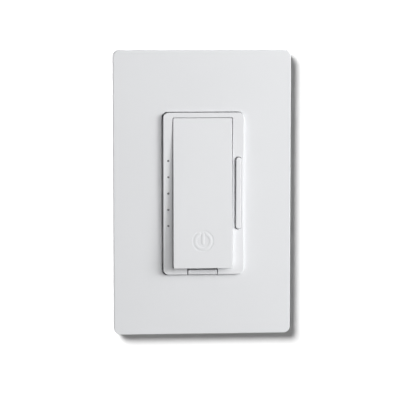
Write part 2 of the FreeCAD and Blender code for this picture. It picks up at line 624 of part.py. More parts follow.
def make_bezel():
    body = new_body("bezel")
    pad(body, "block", "yoke_thick", "bezel_front",
        rounded_box("0", "0", "bezel_width", "bezel_height", "bezel_corner"))
    front = value("bezel_front")
    round_edges(body, "front_round", "bezel_edge", lambda edge: lies_forward(edge, front))
    pocket(body, "recess", "floor_front", "bezel_front",
           box("0", "paddle_rise", "(paddle_width + 2*paddle_gap)", "(paddle_height + 2*paddle_gap)"),
           upright_slot("rocker_across", "0", "slot_width", "slot_length"))
    notch_low = "(-bezel_height/2 - tab_gap)"
    notch_wide = "(tab_width/2 + tab_gap)"
    pocket(body, "tab_notch", "floor_front", "bezel_front",
           polygon((f"-{notch_wide}", notch_low), (notch_wide, notch_low),
                   (notch_wide, "recess_low + paddle_gap"), (f"-{notch_wide}", "recess_low + paddle_gap")))
    openings = [circle("0", "post_up", "(post_radius + post_room)"),
                box("0", "stem_up", "(stem_width + 2*stem_gap)", "(stem_thick + 2*stem_gap)")]
    openings += [circle("rocker_across", signed(side, "dim_reach"), "(dim_button + button_gap)")
                 for side in BOTH]
    pocket(body, "floor_openings", "yoke_thick", "floor_front", *openings)
    pocket(body, "light_channel", "yoke_thick", "rail_front",
           box("(-led_across)", "0", "channel_width", "channel_long"))
    pocket(body, "light_holes", "rail_front", "bezel_front",
           *[circle("(-led_across)", f"({place}*led_pitch)", "(prong_radius + prong_gap)")
             for place in range(-(LEDS//2), LEDS//2 + 1)])
    pocket(body, "screw_holes", "yoke_thick", "bezel_screw_tip",
           *[circle(signed(side, "bezel_screw_across"), signed(end, "bezel_screw_up"), "bezel_screw")
             for side, end in CORNERS])
    reach = "(paddle_width/2 + paddle_gap + hinge_reach)"
    pocket(body, "hinge_holes", f"-{reach}", reach,
           circle("-hinge_level", "hinge_up", "(hinge_pin + pin_gap)"), plane="YZ_Plane")
    pocket(body, "axle_hole", "rocker_across - slot_width/2 - axle_seat", "bezel_width/2",
           circle("-axle_level", "0", "axle_radius"), plane="YZ_Plane")
    studs = [(signed(side, "stud_across"), up) for side in BOTH for up in ("stud_top", "stud_bottom")]
    pad(body, "studs", "-control_level", "(yoke_thick + bezel_floor/2)",
        *[circle(across, up, "stud_radius") for across, up in studs])
    pocket(body, "stud_holes", "-control_level", "board_screw_long - control_level",
           *[circle(across, up, "board_screw") for across, up in studs])
    return body


def make_paddle():
    body = new_body("paddle")
    wide = "paddle_width/2"
    pad(body, "block", f"-{wide}", wide,
        polygon(("-paddle_back_top", "paddle_top_edge"), ("-paddle_top", "paddle_top_edge"),
                ("-paddle_foot", "paddle_low_edge"), ("-paddle_back_foot", "paddle_low_edge")),
        plane="YZ_Plane")
    slope = value("paddle_slope")
    middle = value(paddle_face("paddle_rise"))
    rise = value("paddle_rise")
    on_face = lambda point: abs(-point.y - (middle - slope*(point.z - rise))) < 1e-4
    round_edges(body, "face_round", "paddle_edge",
                lambda edge: all(on_face(end.Point) for end in edge.Vertexes))
    inner_top, inner_low = "(paddle_top_edge - paddle_wall)", "(paddle_low_edge + paddle_wall)"
    hollow_wide = f"({wide} - paddle_wall)"
    pocket(body, "hollow", f"-{hollow_wide}", hollow_wide,
           polygon(("0", inner_top), (f"-({paddle_face(inner_top)} - paddle_skin)", inner_top),
                   (f"-({paddle_face(inner_low)} - paddle_skin)", inner_low), ("0", inner_low)),
           plane="YZ_Plane")
    post_front = paddle_face("post_up")
    pad(body, "post", "post_back", f"{post_front} - paddle_skin/2", circle("0", "post_up", "post_radius"))
    for number, side in enumerate(BOTH):
        start, end = span(side, f"{wide} - paddle_wall/2", f"{wide} + hinge_reach")
        pad(body, f"hinge_pin_{number}", start, end,
            circle("-hinge_level", "hinge_up", "hinge_pin"), plane="YZ_Plane")
    return body


def make_paddle_spring():
    body = new_body("paddle_spring")
    foot_end = "(spring_start - spring_foot)"
    tip = f"({paddle_face('spring_end')} - paddle_skin)"
    pad(body, "strip", "-spring_width/2", "spring_width/2",
        polygon(("-floor_front", "spring_start"), ("-(floor_front + spring_thick)", "spring_start"),
                ("-(floor_front + spring_thick)", foot_end), (f"-({tip} - touch_gap)", "spring_end"),
                (f"-({tip} - touch_gap - spring_thick)", "spring_end"), ("-floor_front", foot_end)),
        plane="YZ_Plane")
    return body


def make_dim_rocker():
    body = new_body("dim_rocker")
    pad(body, "bar", "rocker_back", "rocker_front",
        upright_slot("rocker_across", "0", "rocker_width", "rocker_length"))
    front = value("rocker_front")
    round_edges(body, "face_round", "rocker_edge", lambda edge: lies_forward(edge, front))
    pocket(body, "axle_hole", "rocker_across - rocker_width", "rocker_across + rocker_width",
           circle("-axle_level", "0", "(axle_radius + pin_gap)"), plane="YZ_Plane")
    return body


def make_rocker_axle():
    body = new_body("rocker_axle")
    pad(body, "pin", "rocker_across - slot_width/2 - axle_seat", "bezel_width/2 - axle_inset",
        circle("-axle_level", "0", "axle_radius"), plane="YZ_Plane")
    return body


def make_light_pipe():
    body = new_body("light_pipe")
    prongs = [circle("(-led_across)", f"({place}*led_pitch)", "prong_radius")
              for place in range(-(LEDS//2), LEDS//2 + 1)]
    pad(body, "rail", "rail_front - rail_thick", "rail_front",
        box("(-led_across)", "0", "rail_width", "rail_long"))
    pad(body, "prongs", "led_thick + led_gap - control_level", "bezel_front - prong_sink", *prongs)
    return body


def make_airgap_tab():
    body = new_body("airgap_tab")
    pad(body, "tab", "tab_back", "bezel_front", box("0", "tab_up", "tab_width", "tab_height"))
    front = value("bezel_front")
    round_edges(body, "face_round", "tab_edge", lambda edge: lies_forward(edge, front))
    pad(body, "stem", "-blade_level", "tab_back", box("0", "stem_up", "stem_width", "stem_thick"))
    return body


def make_airgap_blade():
    body = new_body("airgap_blade")
    pad(body, "strip", "blade_back", "-blade_level",
        box("0", "stem_low + blade_height/2", "blade_width", "blade_height"))
    return body


def make_airgap_contacts():
    body = new_body("airgap_contacts")
    foot_up = "(contact_thick - power_height/2)"
    for number, side in enumerate(BOTH):
        across = signed(side, "contact_across")
        pad(body, f"strip_{number}", f"{across} - contact_width/2", f"{across} + contact_width/2",
            polygon(("power_level", foot_up), ("-blade_back", foot_up), ("-blade_back", "stem_low"),
                    ("contact_thick - blade_back", "stem_low"),
                    ("contact_thick - blade_back", "-power_height/2"),
                    ("power_level", "-power_height/2")), plane="YZ_Plane")
    return body


def make_control_board():
    body = new_body("control_board")
    height = "(control_top - control_bottom)"
    holes = [circle(signed(side, "stud_across"), up, "board_screw")
             for side in BOTH for up in ("stud_top", "stud_bottom")]
    pad(body, "sheet", "control_back", "-control_level",
        box("0", "(control_top/2 + control_bottom/2)", "control_width", height), *holes)
    return body


def make_board_screws():
    body = new_body("board_screws")
    studs = [(signed(side, "stud_across"), up) for side in BOTH for up in ("stud_top", "stud_bottom")]
    head_back = "(control_back - board_head_thick)"
    pad(body, "shanks", "control_back", "board_screw_long - control_level",
        *[circle(across, up, "board_screw") for across, up in studs])
    pad(body, "heads", head_back, "control_back", *[circle(across, up, "board_head") for across, up in studs])
    pocket(body, "slots", head_back, f"{head_back} + slot_deep",
           *[box(across, up, "(3*board_head)", "slot_wide/2") for across, up in studs])
    return body


def make_bezel_screws():
    body = new_body("bezel_screws")
    places = [(signed(side, "bezel_screw_across"), signed(end, "bezel_screw_up")) for side, end in CORNERS]
    pad(body, "shanks", "0", "bezel_screw_tip", *[circle(across, up, "bezel_screw") for across, up in places])
    pad(body, "heads", "-bezel_head_thick", "0", *[circle(across, up, "bezel_head") for across, up in places])
    pocket(body, "slots", "-bezel_head_thick", "slot_deep - bezel_head_thick",
           *[box(across, up, "(3*bezel_head)", "slot_wide/2") for across, up in places])
    return body


def make_led_chips():
    body = new_body("led_chips")
    pad(body, "chips", "-control_level", "led_thick - control_level",
        *[box("(-led_across)", f"({place}*led_pitch)", "led_wide", "led_long")
          for place in range(-(LEDS//2), LEDS//2 + 1)])
    return body


BUTTONS = [("0", "post_up", "post_radius"), ("rocker_across", "dim_reach", "dim_button"),
           ("rocker_across", "(-dim_reach)", "dim_button")]


def make_button_bases():
    body = new_body("button_bases")
    pad(body, "blocks", "-control_level", "base_front", *[box(across, up, "base_size", "base_size")
                                                        for across, up, _ in BUTTONS])
    pocket(body, "bores", "button_floor - control_level", "base_front",
           *[circle(across, up, f"({radius} + button_gap)") for across, up, radius in BUTTONS])
    return body


def make_button(name, place, front):
    body = new_body(name)
    across, up, radius = place
    pad(body, "rod", "button_back", front, circle(across, up, radius))
    return body


def make_controller_chip():
    body = new_body("controller_chip")
    pad(body, "package", "control_back - chip_thick", "control_back",
        box("0", "chip_up", "chip_size", "chip_size"))
    return body


def header_pins():
    half = HEADER_PINS//2
    return [box(f"({place}*header_pitch)", "header_up", "header_pin", "header_pin")
            for place in range(-half, half + 1)]


def make_header_block():
    body = new_body("header_block")
    pad(body, "block", "control_back - header_block", "control_back",
        box("0", "header_up", "header_width", "header_height"), *header_pins())
    return body


def make_header_pins():
    body = new_body("header_pins")
    pad(body, "pins", "-power_level", "control_back", *header_pins())
    return body


def make_power_board():
    body = new_body("power_board")
    pad(body, "sheet", "power_back", "-power_level", box("0", "0", "power_width", "power_height"))
    return body


def make_rear_housing():
    body = new_body("rear_housing")
    inner_width, inner_height = "housing_inner_width", "housing_inner_height"
    pad(body, "shell", "-housing_deep", "0",
        rounded_box("0", "0", "housing_width", "housing_height", "housing_corner"))
    pocket(body, "hollow", "housing_wall - housing_deep", "0",
           rounded_box("0", "0", inner_width, inner_height, "(housing_corner - housing_wall)"))
    pad(body, "bosses", "-boss_deep", "0",
        *[circle(signed(side, "boss_across"), signed(end, "boss_up"), "boss_radius")
          for side, end in CORNERS])
    pocket(body, "boss_holes", "-housing_screw_tip", "0",
           *[circle(signed(side, "boss_across"), signed(end, "boss_up"), "housing_screw")
             for side, end in CORNERS])
    ledge_across = f"({inner_width}/2 + housing_wall/4 - ledge_reach/2)"
    pad(body, "ledges", "housing_wall/2 - housing_deep", "power_back",
        *[box(signed(side, ledge_across), signed(end, "ledge_up"), "(ledge_reach + housing_wall/2)",
              "ledge_wide")
          for side, end in CORNERS])
    pocket(body, "terminal_windows", "-housing_width/2", "housing_width/2",
           *[box("terminal_deep", signed(side, "terminal_up"), "terminal_side", "terminal_long")
             for side in BOTH], plane="YZ_Plane")
    return body


def make_housing_screws():
    body = new_body("housing_screws")
    for number, (side, end) in enumerate(CORNERS):
        turned(body, f"screw_{number}", signed(side, "boss_across"), signed(end, "boss_up"),
               [("-housing_screw_tip", "housing_screw"), ("yoke_thick - housing_cone", "housing_screw"),
                ("yoke_thick", "housing_head")])
    pocket(body, "slots", "yoke_thick - slot_deep", "yoke_thick",
           *[box(signed(side, "boss_across"), signed(end, "boss_up"), "(3*housing_head)", "slot_wide/2")
             for side, end in CORNERS])
    return body


def make_triac_pad():
    body = new_body("triac_pad")
    pad(body, "sheet", "-pad_thick", "0",
        box("0", "(triac_foot + triac_tab_high/2)", "(triac_width + 2*pad_over)",
            "(triac_tab_high + 2*pad_over)"),
        circle("0", "rivet_up", "rivet_radius"))
    return body


def make_triac_leadframe():
    body = new_body("triac_leadframe")
    pad(body, "plate", "triac_plate_back", "-pad_thick",
        box("0", "(triac_foot + triac_tab_high/2)", "triac_width", "triac_tab_high"),
        circle("0", "rivet_up", "rivet_radius"))
    return body


def make_triac_case():
    body = new_body("triac_case")
    pad(body, "case", "triac_plate_back - triac_case", "triac_plate_back",
        box("0", "(triac_foot + triac_case_high/2)", "triac_width", "triac_case_high"))
    return body


def make_triac_legs():
    body = new_body("triac_legs")
    bend_up = "(triac_foot - lead_drop)"
    front, back = "-(triac_lead_front)", "lead_thick - triac_lead_front"
    for place in (-1, 0, 1):
        across = f"({place}*header_pitch)"
        pad(body, f"leg_{place + 1}", f"{across} - lead_wide/2", f"{across} + lead_wide/2",
            polygon((front, "triac_foot"), (front, bend_up), ("power_level", bend_up),
                    ("power_level", f"{bend_up} + lead_thick"), (back, f"{bend_up} + lead_thick"),
                    (back, "triac_foot")), plane="YZ_Plane")
    return body


def make_triac_rivet():
    body = new_body("triac_rivet")
    turned(body, "rivet", "0", "rivet_up",
           [("triac_plate_back - rivet_head_thick", "rivet_head"), ("triac_plate_back", "rivet_head"),
            ("triac_plate_back", "rivet_radius"), ("yoke_thick", "rivet_radius")])
    return body


def make_choke():
    far = "(power_back - choke_long)"
    core = new_body("choke_core")
    turned(core, "drum", "choke_across", "choke_up",
            [(far, "choke_radius"), (f"{far} + choke_flange", "choke_radius"),
             (f"{far} + choke_flange", "choke_post"),
            ("power_back - choke_flange", "choke_post"), ("power_back - choke_flange", "choke_radius"),
            ("power_back", "choke_radius")])
    winding = new_body("choke_winding")
    pad(winding, "coil", f"{far} + choke_flange", "power_back - choke_flange",
        circle("choke_across", "choke_up", "(choke_radius - winding_inset)"),
        circle("choke_across", "choke_up", "choke_post"))
    return core, winding


def make_film_capacitor():
    body = new_body("film_capacitor")
    pad(body, "case", "power_back - film_deep", "power_back",
        box("film_across", "film_up", "film_width", "film_height"))
    return body


def make_electrolytic_capacitor():
    body = new_body("electrolytic_capacitor")
    pad(body, "can", "power_back - can_deep", "power_back", circle("can_across", "can_up", "can_radius"))
    return body


def make_surge_disc():
    body = new_body("surge_disc")
    deep = "(disc_stand + disc_radius - power_back)"
    pad(body, "disc", "disc_up - disc_thick/2", "disc_up + disc_thick/2",
        circle("disc_across", deep, "disc_radius"), plane="XY_Plane")
    pad(body, "legs", f"-{deep}", "power_back",
        *[circle(f"disc_across + {signed(side, 'disc_leg_across')}", "disc_up", "disc_leg") for side in BOTH])
    return body


def make_fuse():
    deep = "(fuse_radius - power_back)"
    tube = new_body("fuse_tube")
    half = "fuse_long/2"
    pad(tube, "glass", f"fuse_across - {half} + fuse_cap_wall", f"fuse_across + {half} - fuse_cap_wall",
        circle(deep, "fuse_up", "(fuse_radius - fuse_cap_wall)"), plane="YZ_Plane")
    caps = new_body("fuse_caps")
    pad(caps, "ends", f"fuse_across - {half}", f"fuse_across + {half}",
        circle(deep, "fuse_up", "fuse_radius"),
        plane="YZ_Plane")
    pocket(caps, "bore", f"fuse_across - {half} + fuse_cap_wall", f"fuse_across + {half} - fuse_cap_wall",
           circle(deep, "fuse_up", "(fuse_radius - fuse_cap_wall)"), plane="YZ_Plane")
    pocket(caps, "middle", f"fuse_across - {half} + fuse_cap", f"fuse_across + {half} - fuse_cap",
           circle(deep, "fuse_up", "(2*fuse_radius)"), plane="YZ_Plane")
    return tube, caps


def make_transformer():
    front, back = "power_back", "(power_back - core_deep)"
    window = "(core_width/2 - core_arm - core_leg/2)"
    window_across = f"(core_leg/2 + {window}/2)"
    core = new_body("transformer_core")
    pad(core, "stack", back, front, box("core_across", "core_up", "core_width", "core_height"))
    pocket(core, "coil_windows", "core_up - core_height/2", "core_up + core_height/2",
           *[box(f"(core_across + {signed(side, window_across)})", "(core_deep/2 - power_back)", window,
                 "(core_deep - 2*core_arm)") for side in BOTH], plane="XY_Plane")
    coil = new_body("transformer_coil")
    pad(coil, "turns", f"{back} + core_arm + coil_gap", f"{front} - core_arm - coil_gap",
        box("core_across", "core_up", f"(core_leg + 2*{window} - 2*coil_gap)", "(core_height + 2*coil_over)"),
        box("core_across", "core_up", "core_leg", "core_height"))
    return core, coil


def make_terminals():
    lugs, clamps, screws = new_body("terminal_lugs"), new_body("clamp_plates"), new_body("terminal_screws")
    plate = "(terminal_side - 2*clamp_gap)"
    half_side, half_long = "(terminal_side/2 + lug_over)", "(terminal_long/2 + lug_over)"
    front = f"terminal_deep - {half_side}"
    for number, (side, end) in enumerate(CORNERS):
        up = signed(end, "terminal_up")
        low, high = f"{up} - {half_long}", f"{up} + {half_long}"
        pad(lugs, f"strip_{number}", *span(side, "lug_inner", "lug_outer"),
            polygon((front, low), ("power_level", low), ("power_level", high), (front, high)),
            circle("terminal_deep", up, "terminal_screw"), plane="YZ_Plane")
        pad(clamps, f"plate_{number}", *span(side, "clamp_inner", "clamp_outer"),
            box("terminal_deep", up, plate, plate),
            circle("terminal_deep", up, "(terminal_screw + pin_gap)"), plane="YZ_Plane")
        pad(screws, f"shank_{number}", *span(side, "lug_inner - terminal_tip", "clamp_outer"),
            circle("terminal_deep", up, "terminal_screw"), plane="YZ_Plane")
        pad(screws, f"head_{number}", *span(side, "clamp_outer", "clamp_outer + terminal_head_thick"),
            circle("terminal_deep", up, "terminal_head"), plane="YZ_Plane")
    return lugs, clamps, screws


def make_ground_screw():
    body = new_body("ground_screw")
    turned(body, "screw", "ground_across", "ground_up",
           [("-ground_head_thick", "ground_head"), ("0", "ground_head"), ("0", "box_screw"),
            ("yoke_thick", "box_screw")])
    pocket(body, "slot", "-ground_head_thick", "slot_deep - ground_head_thick",
           box("ground_across", "ground_up", "(3*ground_head)", "slot_wide"))
    return body


SUB_PARTS = [
    make_wall_plate(), make_plate_frame(), make_plate_screws(), make_yoke(), make_mounting_screws(),
    make_screw_keepers(), make_bezel(), make_paddle(), make_paddle_spring(), make_dim_rocker(),
    make_rocker_axle(), make_light_pipe(), make_airgap_tab(), make_airgap_blade(), make_airgap_contacts(),
    make_control_board(), make_board_screws(), make_bezel_screws(), make_led_chips(), make_button_bases(),
    make_button("paddle_button", BUTTONS[0], "paddle_button_front"),
    make_button("dim_up_button", BUTTONS[1], "button_front"),
    make_button("dim_down_button", BUTTONS[2], "button_front"),
    make_controller_chip(), make_header_block(), make_header_pins(), make_power_board(), make_rear_housing(),
    make_housing_screws(), make_triac_pad(), make_triac_leadframe(), make_triac_case(), make_triac_legs(),
    make_triac_rivet(), *make_choke(), make_film_capacitor(), make_electrolytic_capacitor(),
    make_surge_disc(),
    *make_fuse(), *make_transformer(), *make_terminals(), make_ground_screw(),
]

doc.recompute()
for item in doc.Objects:
    if "Invalid" in item.State or "Error" in item.State:
        raise RuntimeError(f"{item.Name} failed: {item.State}")
for body in SUB_PARTS:
    if body.Shape.isNull() or not body.Shape.isValid():
        raise RuntimeError(f"{body.Label} has no valid shape")

os.makedirs("parts", exist_ok=True)
for body in SUB_PARTS:
    body.Shape.exportStep(f"parts/{body.Label}.step")
    solids = body.Shape.Solids
    print(f"{body.Label}: {len(solids)} solid(s), {body.Shape.Volume:.2f} mm3")
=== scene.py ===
import json
import logging
import math
from dataclasses import dataclass
from enum import Enum
from typing import Callable, Iterable, Optional, Sequence, Union

import bmesh
import bpy
from bmesh.types import BMEdge, BMesh, BMVert
from mathutils import Matrix, Vector


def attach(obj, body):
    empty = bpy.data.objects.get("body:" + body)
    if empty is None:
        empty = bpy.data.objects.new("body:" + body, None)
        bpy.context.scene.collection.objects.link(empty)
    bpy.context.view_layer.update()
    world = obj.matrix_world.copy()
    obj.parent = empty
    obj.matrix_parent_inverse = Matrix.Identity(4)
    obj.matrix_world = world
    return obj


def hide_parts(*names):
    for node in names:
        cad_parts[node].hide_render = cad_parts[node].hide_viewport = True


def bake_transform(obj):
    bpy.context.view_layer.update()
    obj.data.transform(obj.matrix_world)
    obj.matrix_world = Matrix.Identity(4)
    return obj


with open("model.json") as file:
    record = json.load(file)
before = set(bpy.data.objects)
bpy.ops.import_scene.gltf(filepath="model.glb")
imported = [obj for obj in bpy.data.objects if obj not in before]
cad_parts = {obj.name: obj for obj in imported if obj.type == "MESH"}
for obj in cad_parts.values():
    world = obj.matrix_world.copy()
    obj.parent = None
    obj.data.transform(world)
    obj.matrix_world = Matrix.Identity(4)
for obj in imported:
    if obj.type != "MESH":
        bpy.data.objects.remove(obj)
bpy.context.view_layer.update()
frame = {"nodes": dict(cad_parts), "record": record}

LOG = logging.getLogger("wall_dimmer")

# Each piece is shaped on the bench in millimetres: x to the right, y up the wall, z out of the wall.
# This matrix takes it to its place in the part, in metres, with the room along -y.
BENCH = Matrix.Scale(0.001, 4) @ Matrix.Rotation(math.pi / 2, 4, "X")
# Points nearer to each other than this count as one, in millimetres.
CLOSE = 1e-3
# Vertices nearer to a cutting plane than this count as on it, in millimetres.
ON_PLANE = 1e-5
# Edges sharper than this stay sharp in shading, in degrees.
SHARP_SHADING = 34.0

# A face whose unit normal has more than this along a direction faces that way.
FACING = 0.9

Socket = bpy.types.NodeSocket
Colour = Union[Socket, Sequence[float]]

ORIGIN = (0.0, 0.0)
TO_THE_RIGHT = (1.0, 0.0, 0.0)
UP_THE_WALL = (0.0, 1.0, 0.0)
OUT_OF_THE_WALL = (0.0, 0.0, 1.0)
SIDES = (-1.0, 1.0)


def verts_of(items: Iterable[object]) -> list[BMVert]:
    """Pick the vertices out of a mesh operator's geometry."""
    return [item for item in items if isinstance(item, BMVert)]


def edges_of(items: Iterable[object]) -> list[BMEdge]:
    """Pick the edges out of a mesh operator's geometry."""
    return [item for item in items if isinstance(item, BMEdge)]


def edges_at(verts: Iterable[BMVert]) -> list[BMEdge]:
    """List the edges at some vertices, each once and always in the same order."""
    return list(dict.fromkeys(edge for vert in verts for edge in vert.link_edges))


def spaced(count: int, pitch: float) -> list[float]:
    """List places that are evenly spaced about 0."""
    return [(number - (count - 1) / 2) * pitch for number in range(count)]


def outline_gap(point: Vector, width: float, height: float, radius: float,
                centre: tuple[float, float] = ORIGIN) -> float:
    """Tell how far a point lies outside a rounded rectangle, seen from the front.

    Args:
        point: The point on the bench.
        width: Width of the rectangle.
        height: Height of the rectangle.
        radius: Corner radius.
        centre: Middle of the rectangle.

    Returns:
        The distance, negative inside.
    """
    across = abs(point.x - centre[0]) - (width / 2 - radius)
    up = abs(point.y - centre[1]) - (height / 2 - radius)
    return math.hypot(max(across, 0.0), max(up, 0.0)) + min(max(across, up), 0.0) - radius


class Blank:
    """A piece on the bench, before it is dressed and put in its place."""

    def __init__(self) -> None:
        """Start with an empty mesh."""
        self.mesh: BMesh = bmesh.new()

    def everything(self) -> list[object]:
        """Return all vertices, edges and faces."""
        return self.mesh.verts[:] + self.mesh.edges[:] + self.mesh.faces[:]

    def rectangle(self, width: float, height: float, radius: float = 0.0,
                  centre: tuple[float, float] = ORIGIN, level: float = 0.0, steps: int = 8) -> list[BMEdge]:
        """Draw a rounded rectangle as a loop of edges.

        Args:
            width: Width of the rectangle.
            height: Height of the rectangle.
            radius: Corner radius.
            centre: Middle of the rectangle.
            level: Height over the bench.
            steps: Edges in each corner.

        Returns:
            The edges of the loop.
        """
        place = Matrix.Translation((*centre, level)) @ Matrix.Diagonal((width, height, 1.0, 1.0))
        corners = bmesh.ops.create_grid(self.mesh, x_segments=1, y_segments=1, size=0.5, matrix=place)["verts"]
        if radius:
            corners = bmesh.ops.bevel(self.mesh, geom=corners, offset=radius, offset_type="OFFSET",
                                      segments=steps, profile=0.5, affect="VERTICES", material=-1)["verts"]
        face = corners[0].link_faces[0]
        edges = list(face.edges)
        bmesh.ops.delete(self.mesh, geom=[face], context="FACES_ONLY")
        return edges

    def circle(self, radius: float, centre: tuple[float, float], level: float = 0.0,
               steps: int = 24) -> list[BMEdge]:
        """Draw a circle as a loop of edges.

        Args:
            radius: Radius of the circle.
            centre: Middle of the circle.
            level: Height over the bench.
            steps: Edges in the circle.

        Returns:
            The edges of the loop.
        """
        made = bmesh.ops.create_circle(self.mesh, cap_ends=False, radius=radius, segments=steps,
                                       matrix=Matrix.Translation((*centre, level)))
        return edges_at(made["verts"])

    def slab(self, edges: Iterable[BMEdge], top: float) -> None:
        """Fill loops that lie on one level and raise them to a closed slab with holes.

        Args:
            edges: All loops, the outer one and its holes.
            top: Level of the slab's top.
        """
        loops = list(edges)
        bottom = loops[0].verts[0].co.z
        corners = {vert for edge in loops for vert in edge.verts}
        bmesh.ops.triangle_fill(self.mesh, edges=loops, use_beauty=True, use_dissolve=True,
                                normal=OUT_OF_THE_WALL)
        faces = [face for face in self.mesh.faces if all(vert in corners for vert in face.verts)]
        made = bmesh.ops.extrude_face_region(self.mesh, geom=faces, use_keep_orig=True)["geom"]
        bmesh.ops.translate(self.mesh, verts=verts_of(made), vec=(0.0, 0.0, top - bottom))
        bmesh.ops.recalc_face_normals(self.mesh, faces=self.mesh.faces[:])

    def block(self, size: Sequence[float], centre: Sequence[float]) -> list[BMVert]:
        """Add a box and return its vertices."""
        place = Matrix.Translation(centre) @ Matrix.Diagonal((*size, 1.0))
        return bmesh.ops.create_cube(self.mesh, size=1.0, matrix=place)["verts"]

    def rod(self, radius: float, low: float, high: float, centre: tuple[float, float] = ORIGIN,
            tip: Optional[float] = None, steps: int = 24, turn: Optional[Matrix] = None) -> None:
        """Add a closed round bar that stands on the bench, or lies where turn puts it.

        Args:
            radius: Radius at the lower end.
            low: Level of the lower end.
            high: Level of the upper end.
            centre: Middle of the bar.
            tip: Radius at the upper end, if it tapers.
            steps: Sides of the bar.
            turn: Where the bar goes instead of upright at its centre.
        """
        place = Matrix.Translation((*centre, (low + high) / 2)) if turn is None else turn
        bmesh.ops.create_cone(self.mesh, cap_ends=True, cap_tris=False, segments=steps, radius1=radius,
                              radius2=radius if tip is None else tip, depth=high - low, matrix=place)

    def sharp(self, chosen: Callable[[Vector], bool], least: float = 25.0) -> list[BMEdge]:
        """Find sharp edges whose middle is chosen.

        Args:
            chosen: Says for an edge's middle whether the edge counts.
            least: Smallest angle between the two faces, in degrees.

        Returns:
            The edges.
        """
        self.mesh.normal_update()
        return [edge for edge in self.mesh.edges
                if len(edge.link_faces) == 2 and edge.calc_face_angle(0.0) > math.radians(least)
                and chosen((edge.verts[0].co + edge.verts[1].co) / 2)]

    def level_edges(self, level: float, chosen: Callable[[Vector], bool] = lambda middle: True) -> list[BMEdge]:
        """Find sharp edges that lie on one level."""
        return self.sharp(lambda middle: abs(middle.z - level) < CLOSE and chosen(middle))

    def ease(self, edges: Iterable[BMEdge], width: float, steps: int = 3, clamp: bool = False) -> None:
        """Round edges off.

        Args:
            edges: The edges to round.
            width: Radius of the rounding.
            steps: Facets across it.
            clamp: Whether a crowded edge may get less.
        """
        self.mesh.normal_update()
        bmesh.ops.bevel(self.mesh, geom=list(edges), offset=width, offset_type="OFFSET", segments=steps,
                        profile=0.5, affect="EDGES", material=-1, clamp_overlap=clamp)

    def split(self, geom: Sequence[object], point: Sequence[float], normal: Sequence[float],
              clear_below: bool = False) -> list[BMEdge]:
        """Cut geometry along a plane.

        Args:
            geom: What is cut.
            point: A point of the plane.
            normal: The plane's normal.
            clear_below: Whether what lies below the plane goes.

        Returns:
            The edges in the plane.
        """
        made = bmesh.ops.bisect_plane(self.mesh, geom=list(geom), plane_co=point, plane_no=normal,
                                      clear_inner=clear_below, dist=ON_PLANE)
        return edges_of(made["geom_cut"])

    def carve(self, tools: "Blank") -> None:
        """Cut the shapes of another blank out of this one.

        Args:
            tools: What is cut out. It is used up.
        """
        items = []
        for blank in (self, tools):
            bmesh.ops.recalc_face_normals(blank.mesh, faces=blank.mesh.faces[:])
            mesh = bpy.data.meshes.new("carving")
            blank.mesh.to_mesh(mesh)
            items.append(bpy.data.objects.new("carving", mesh))
            bpy.context.scene.collection.objects.link(items[-1])
        cut = items[0].modifiers.new("cut", "BOOLEAN")
        cut.operation, cut.solver, cut.object = "DIFFERENCE", "EXACT", items[1]
        bpy.context.view_layer.update()
        result = bpy.data.meshes.new_from_object(items[0].evaluated_get(bpy.context.evaluated_depsgraph_get()))
        self.mesh.clear()
        self.mesh.from_mesh(result)
        tools.mesh.free()
        for item in items:
            bpy.data.meshes.remove(item.data)
        bpy.data.meshes.remove(result)
        bmesh.ops.remove_doubles(self.mesh, verts=self.mesh.verts[:], dist=CLOSE)


@dataclass(frozen=True)
class Texture:
    """A grain's fine marks.

    The scale says how many there are per metre along each axis, and the depth is in metres. The strength is that
    of the bump. The detail says how many finer layers the noise has, the spread how much the roughness varies.
    """

    scale: tuple[float, float, float]
    depth: float
    strength: float
    detail: float
    spread: float


class Grain(Enum):
    """How a surface is made, with the fine marks that this leaves."""

    MOULDED = Texture((2600.0,) * 3, depth=4e-6, strength=0.35, detail=3.0, spread=0.05)
    SPARK = Texture((4200.0,) * 3, depth=2.2e-5, strength=0.55, detail=4.0, spread=0.06)
    BRUSHED = Texture((9000.0, 9000.0, 160.0), depth=8e-6, strength=0.5, detail=4.0, spread=0.1)
    PLATED = Texture((1500.0,) * 3, depth=6e-6, strength=0.4, detail=3.0, spread=0.12)
    ROLLED = Texture((5200.0, 420.0, 420.0), depth=6e-6, strength=0.4, detail=3.0, spread=0.1)
    PRESSED = Texture((3200.0, 900.0, 3200.0), depth=1.6e-5, strength=0.6, detail=5.0, spread=0.05)
    SINTERED = Texture((6000.0,) * 3, depth=2.5e-5, strength=0.5, detail=6.0, spread=0.06)
    MASKED = Texture((900.0,) * 3, depth=1e-5, strength=0.3, detail=2.0, spread=0.05)
    WOUND = Texture((400.0,) * 3, depth=2e-5, strength=0.4, detail=2.0, spread=0.05)
    CLEAR = Texture((1200.0,) * 3, depth=2e-6, strength=0.2, detail=1.0, spread=0.01)


@dataclass(frozen=True)
class Finish:
    """A finish: its colour, how it takes light, and how it was made."""

    name: str
    colour: tuple[float, float, float]
    roughness: float
    grain: Grain
    metallic: float = 0.0
    relief: float = 1.0
    variation: float = 0.02
    coat: float = 0.0
    transmission: float = 0.0
    turns: tuple[float, float, float] = (1.0, 1.0, 1.0)

    def material(self) -> bpy.types.Material:
        """Make the finish's material, or return it if it is made already."""
        known = bpy.data.materials.get(self.name)
        return known if known is not None else Surface(self).dress()


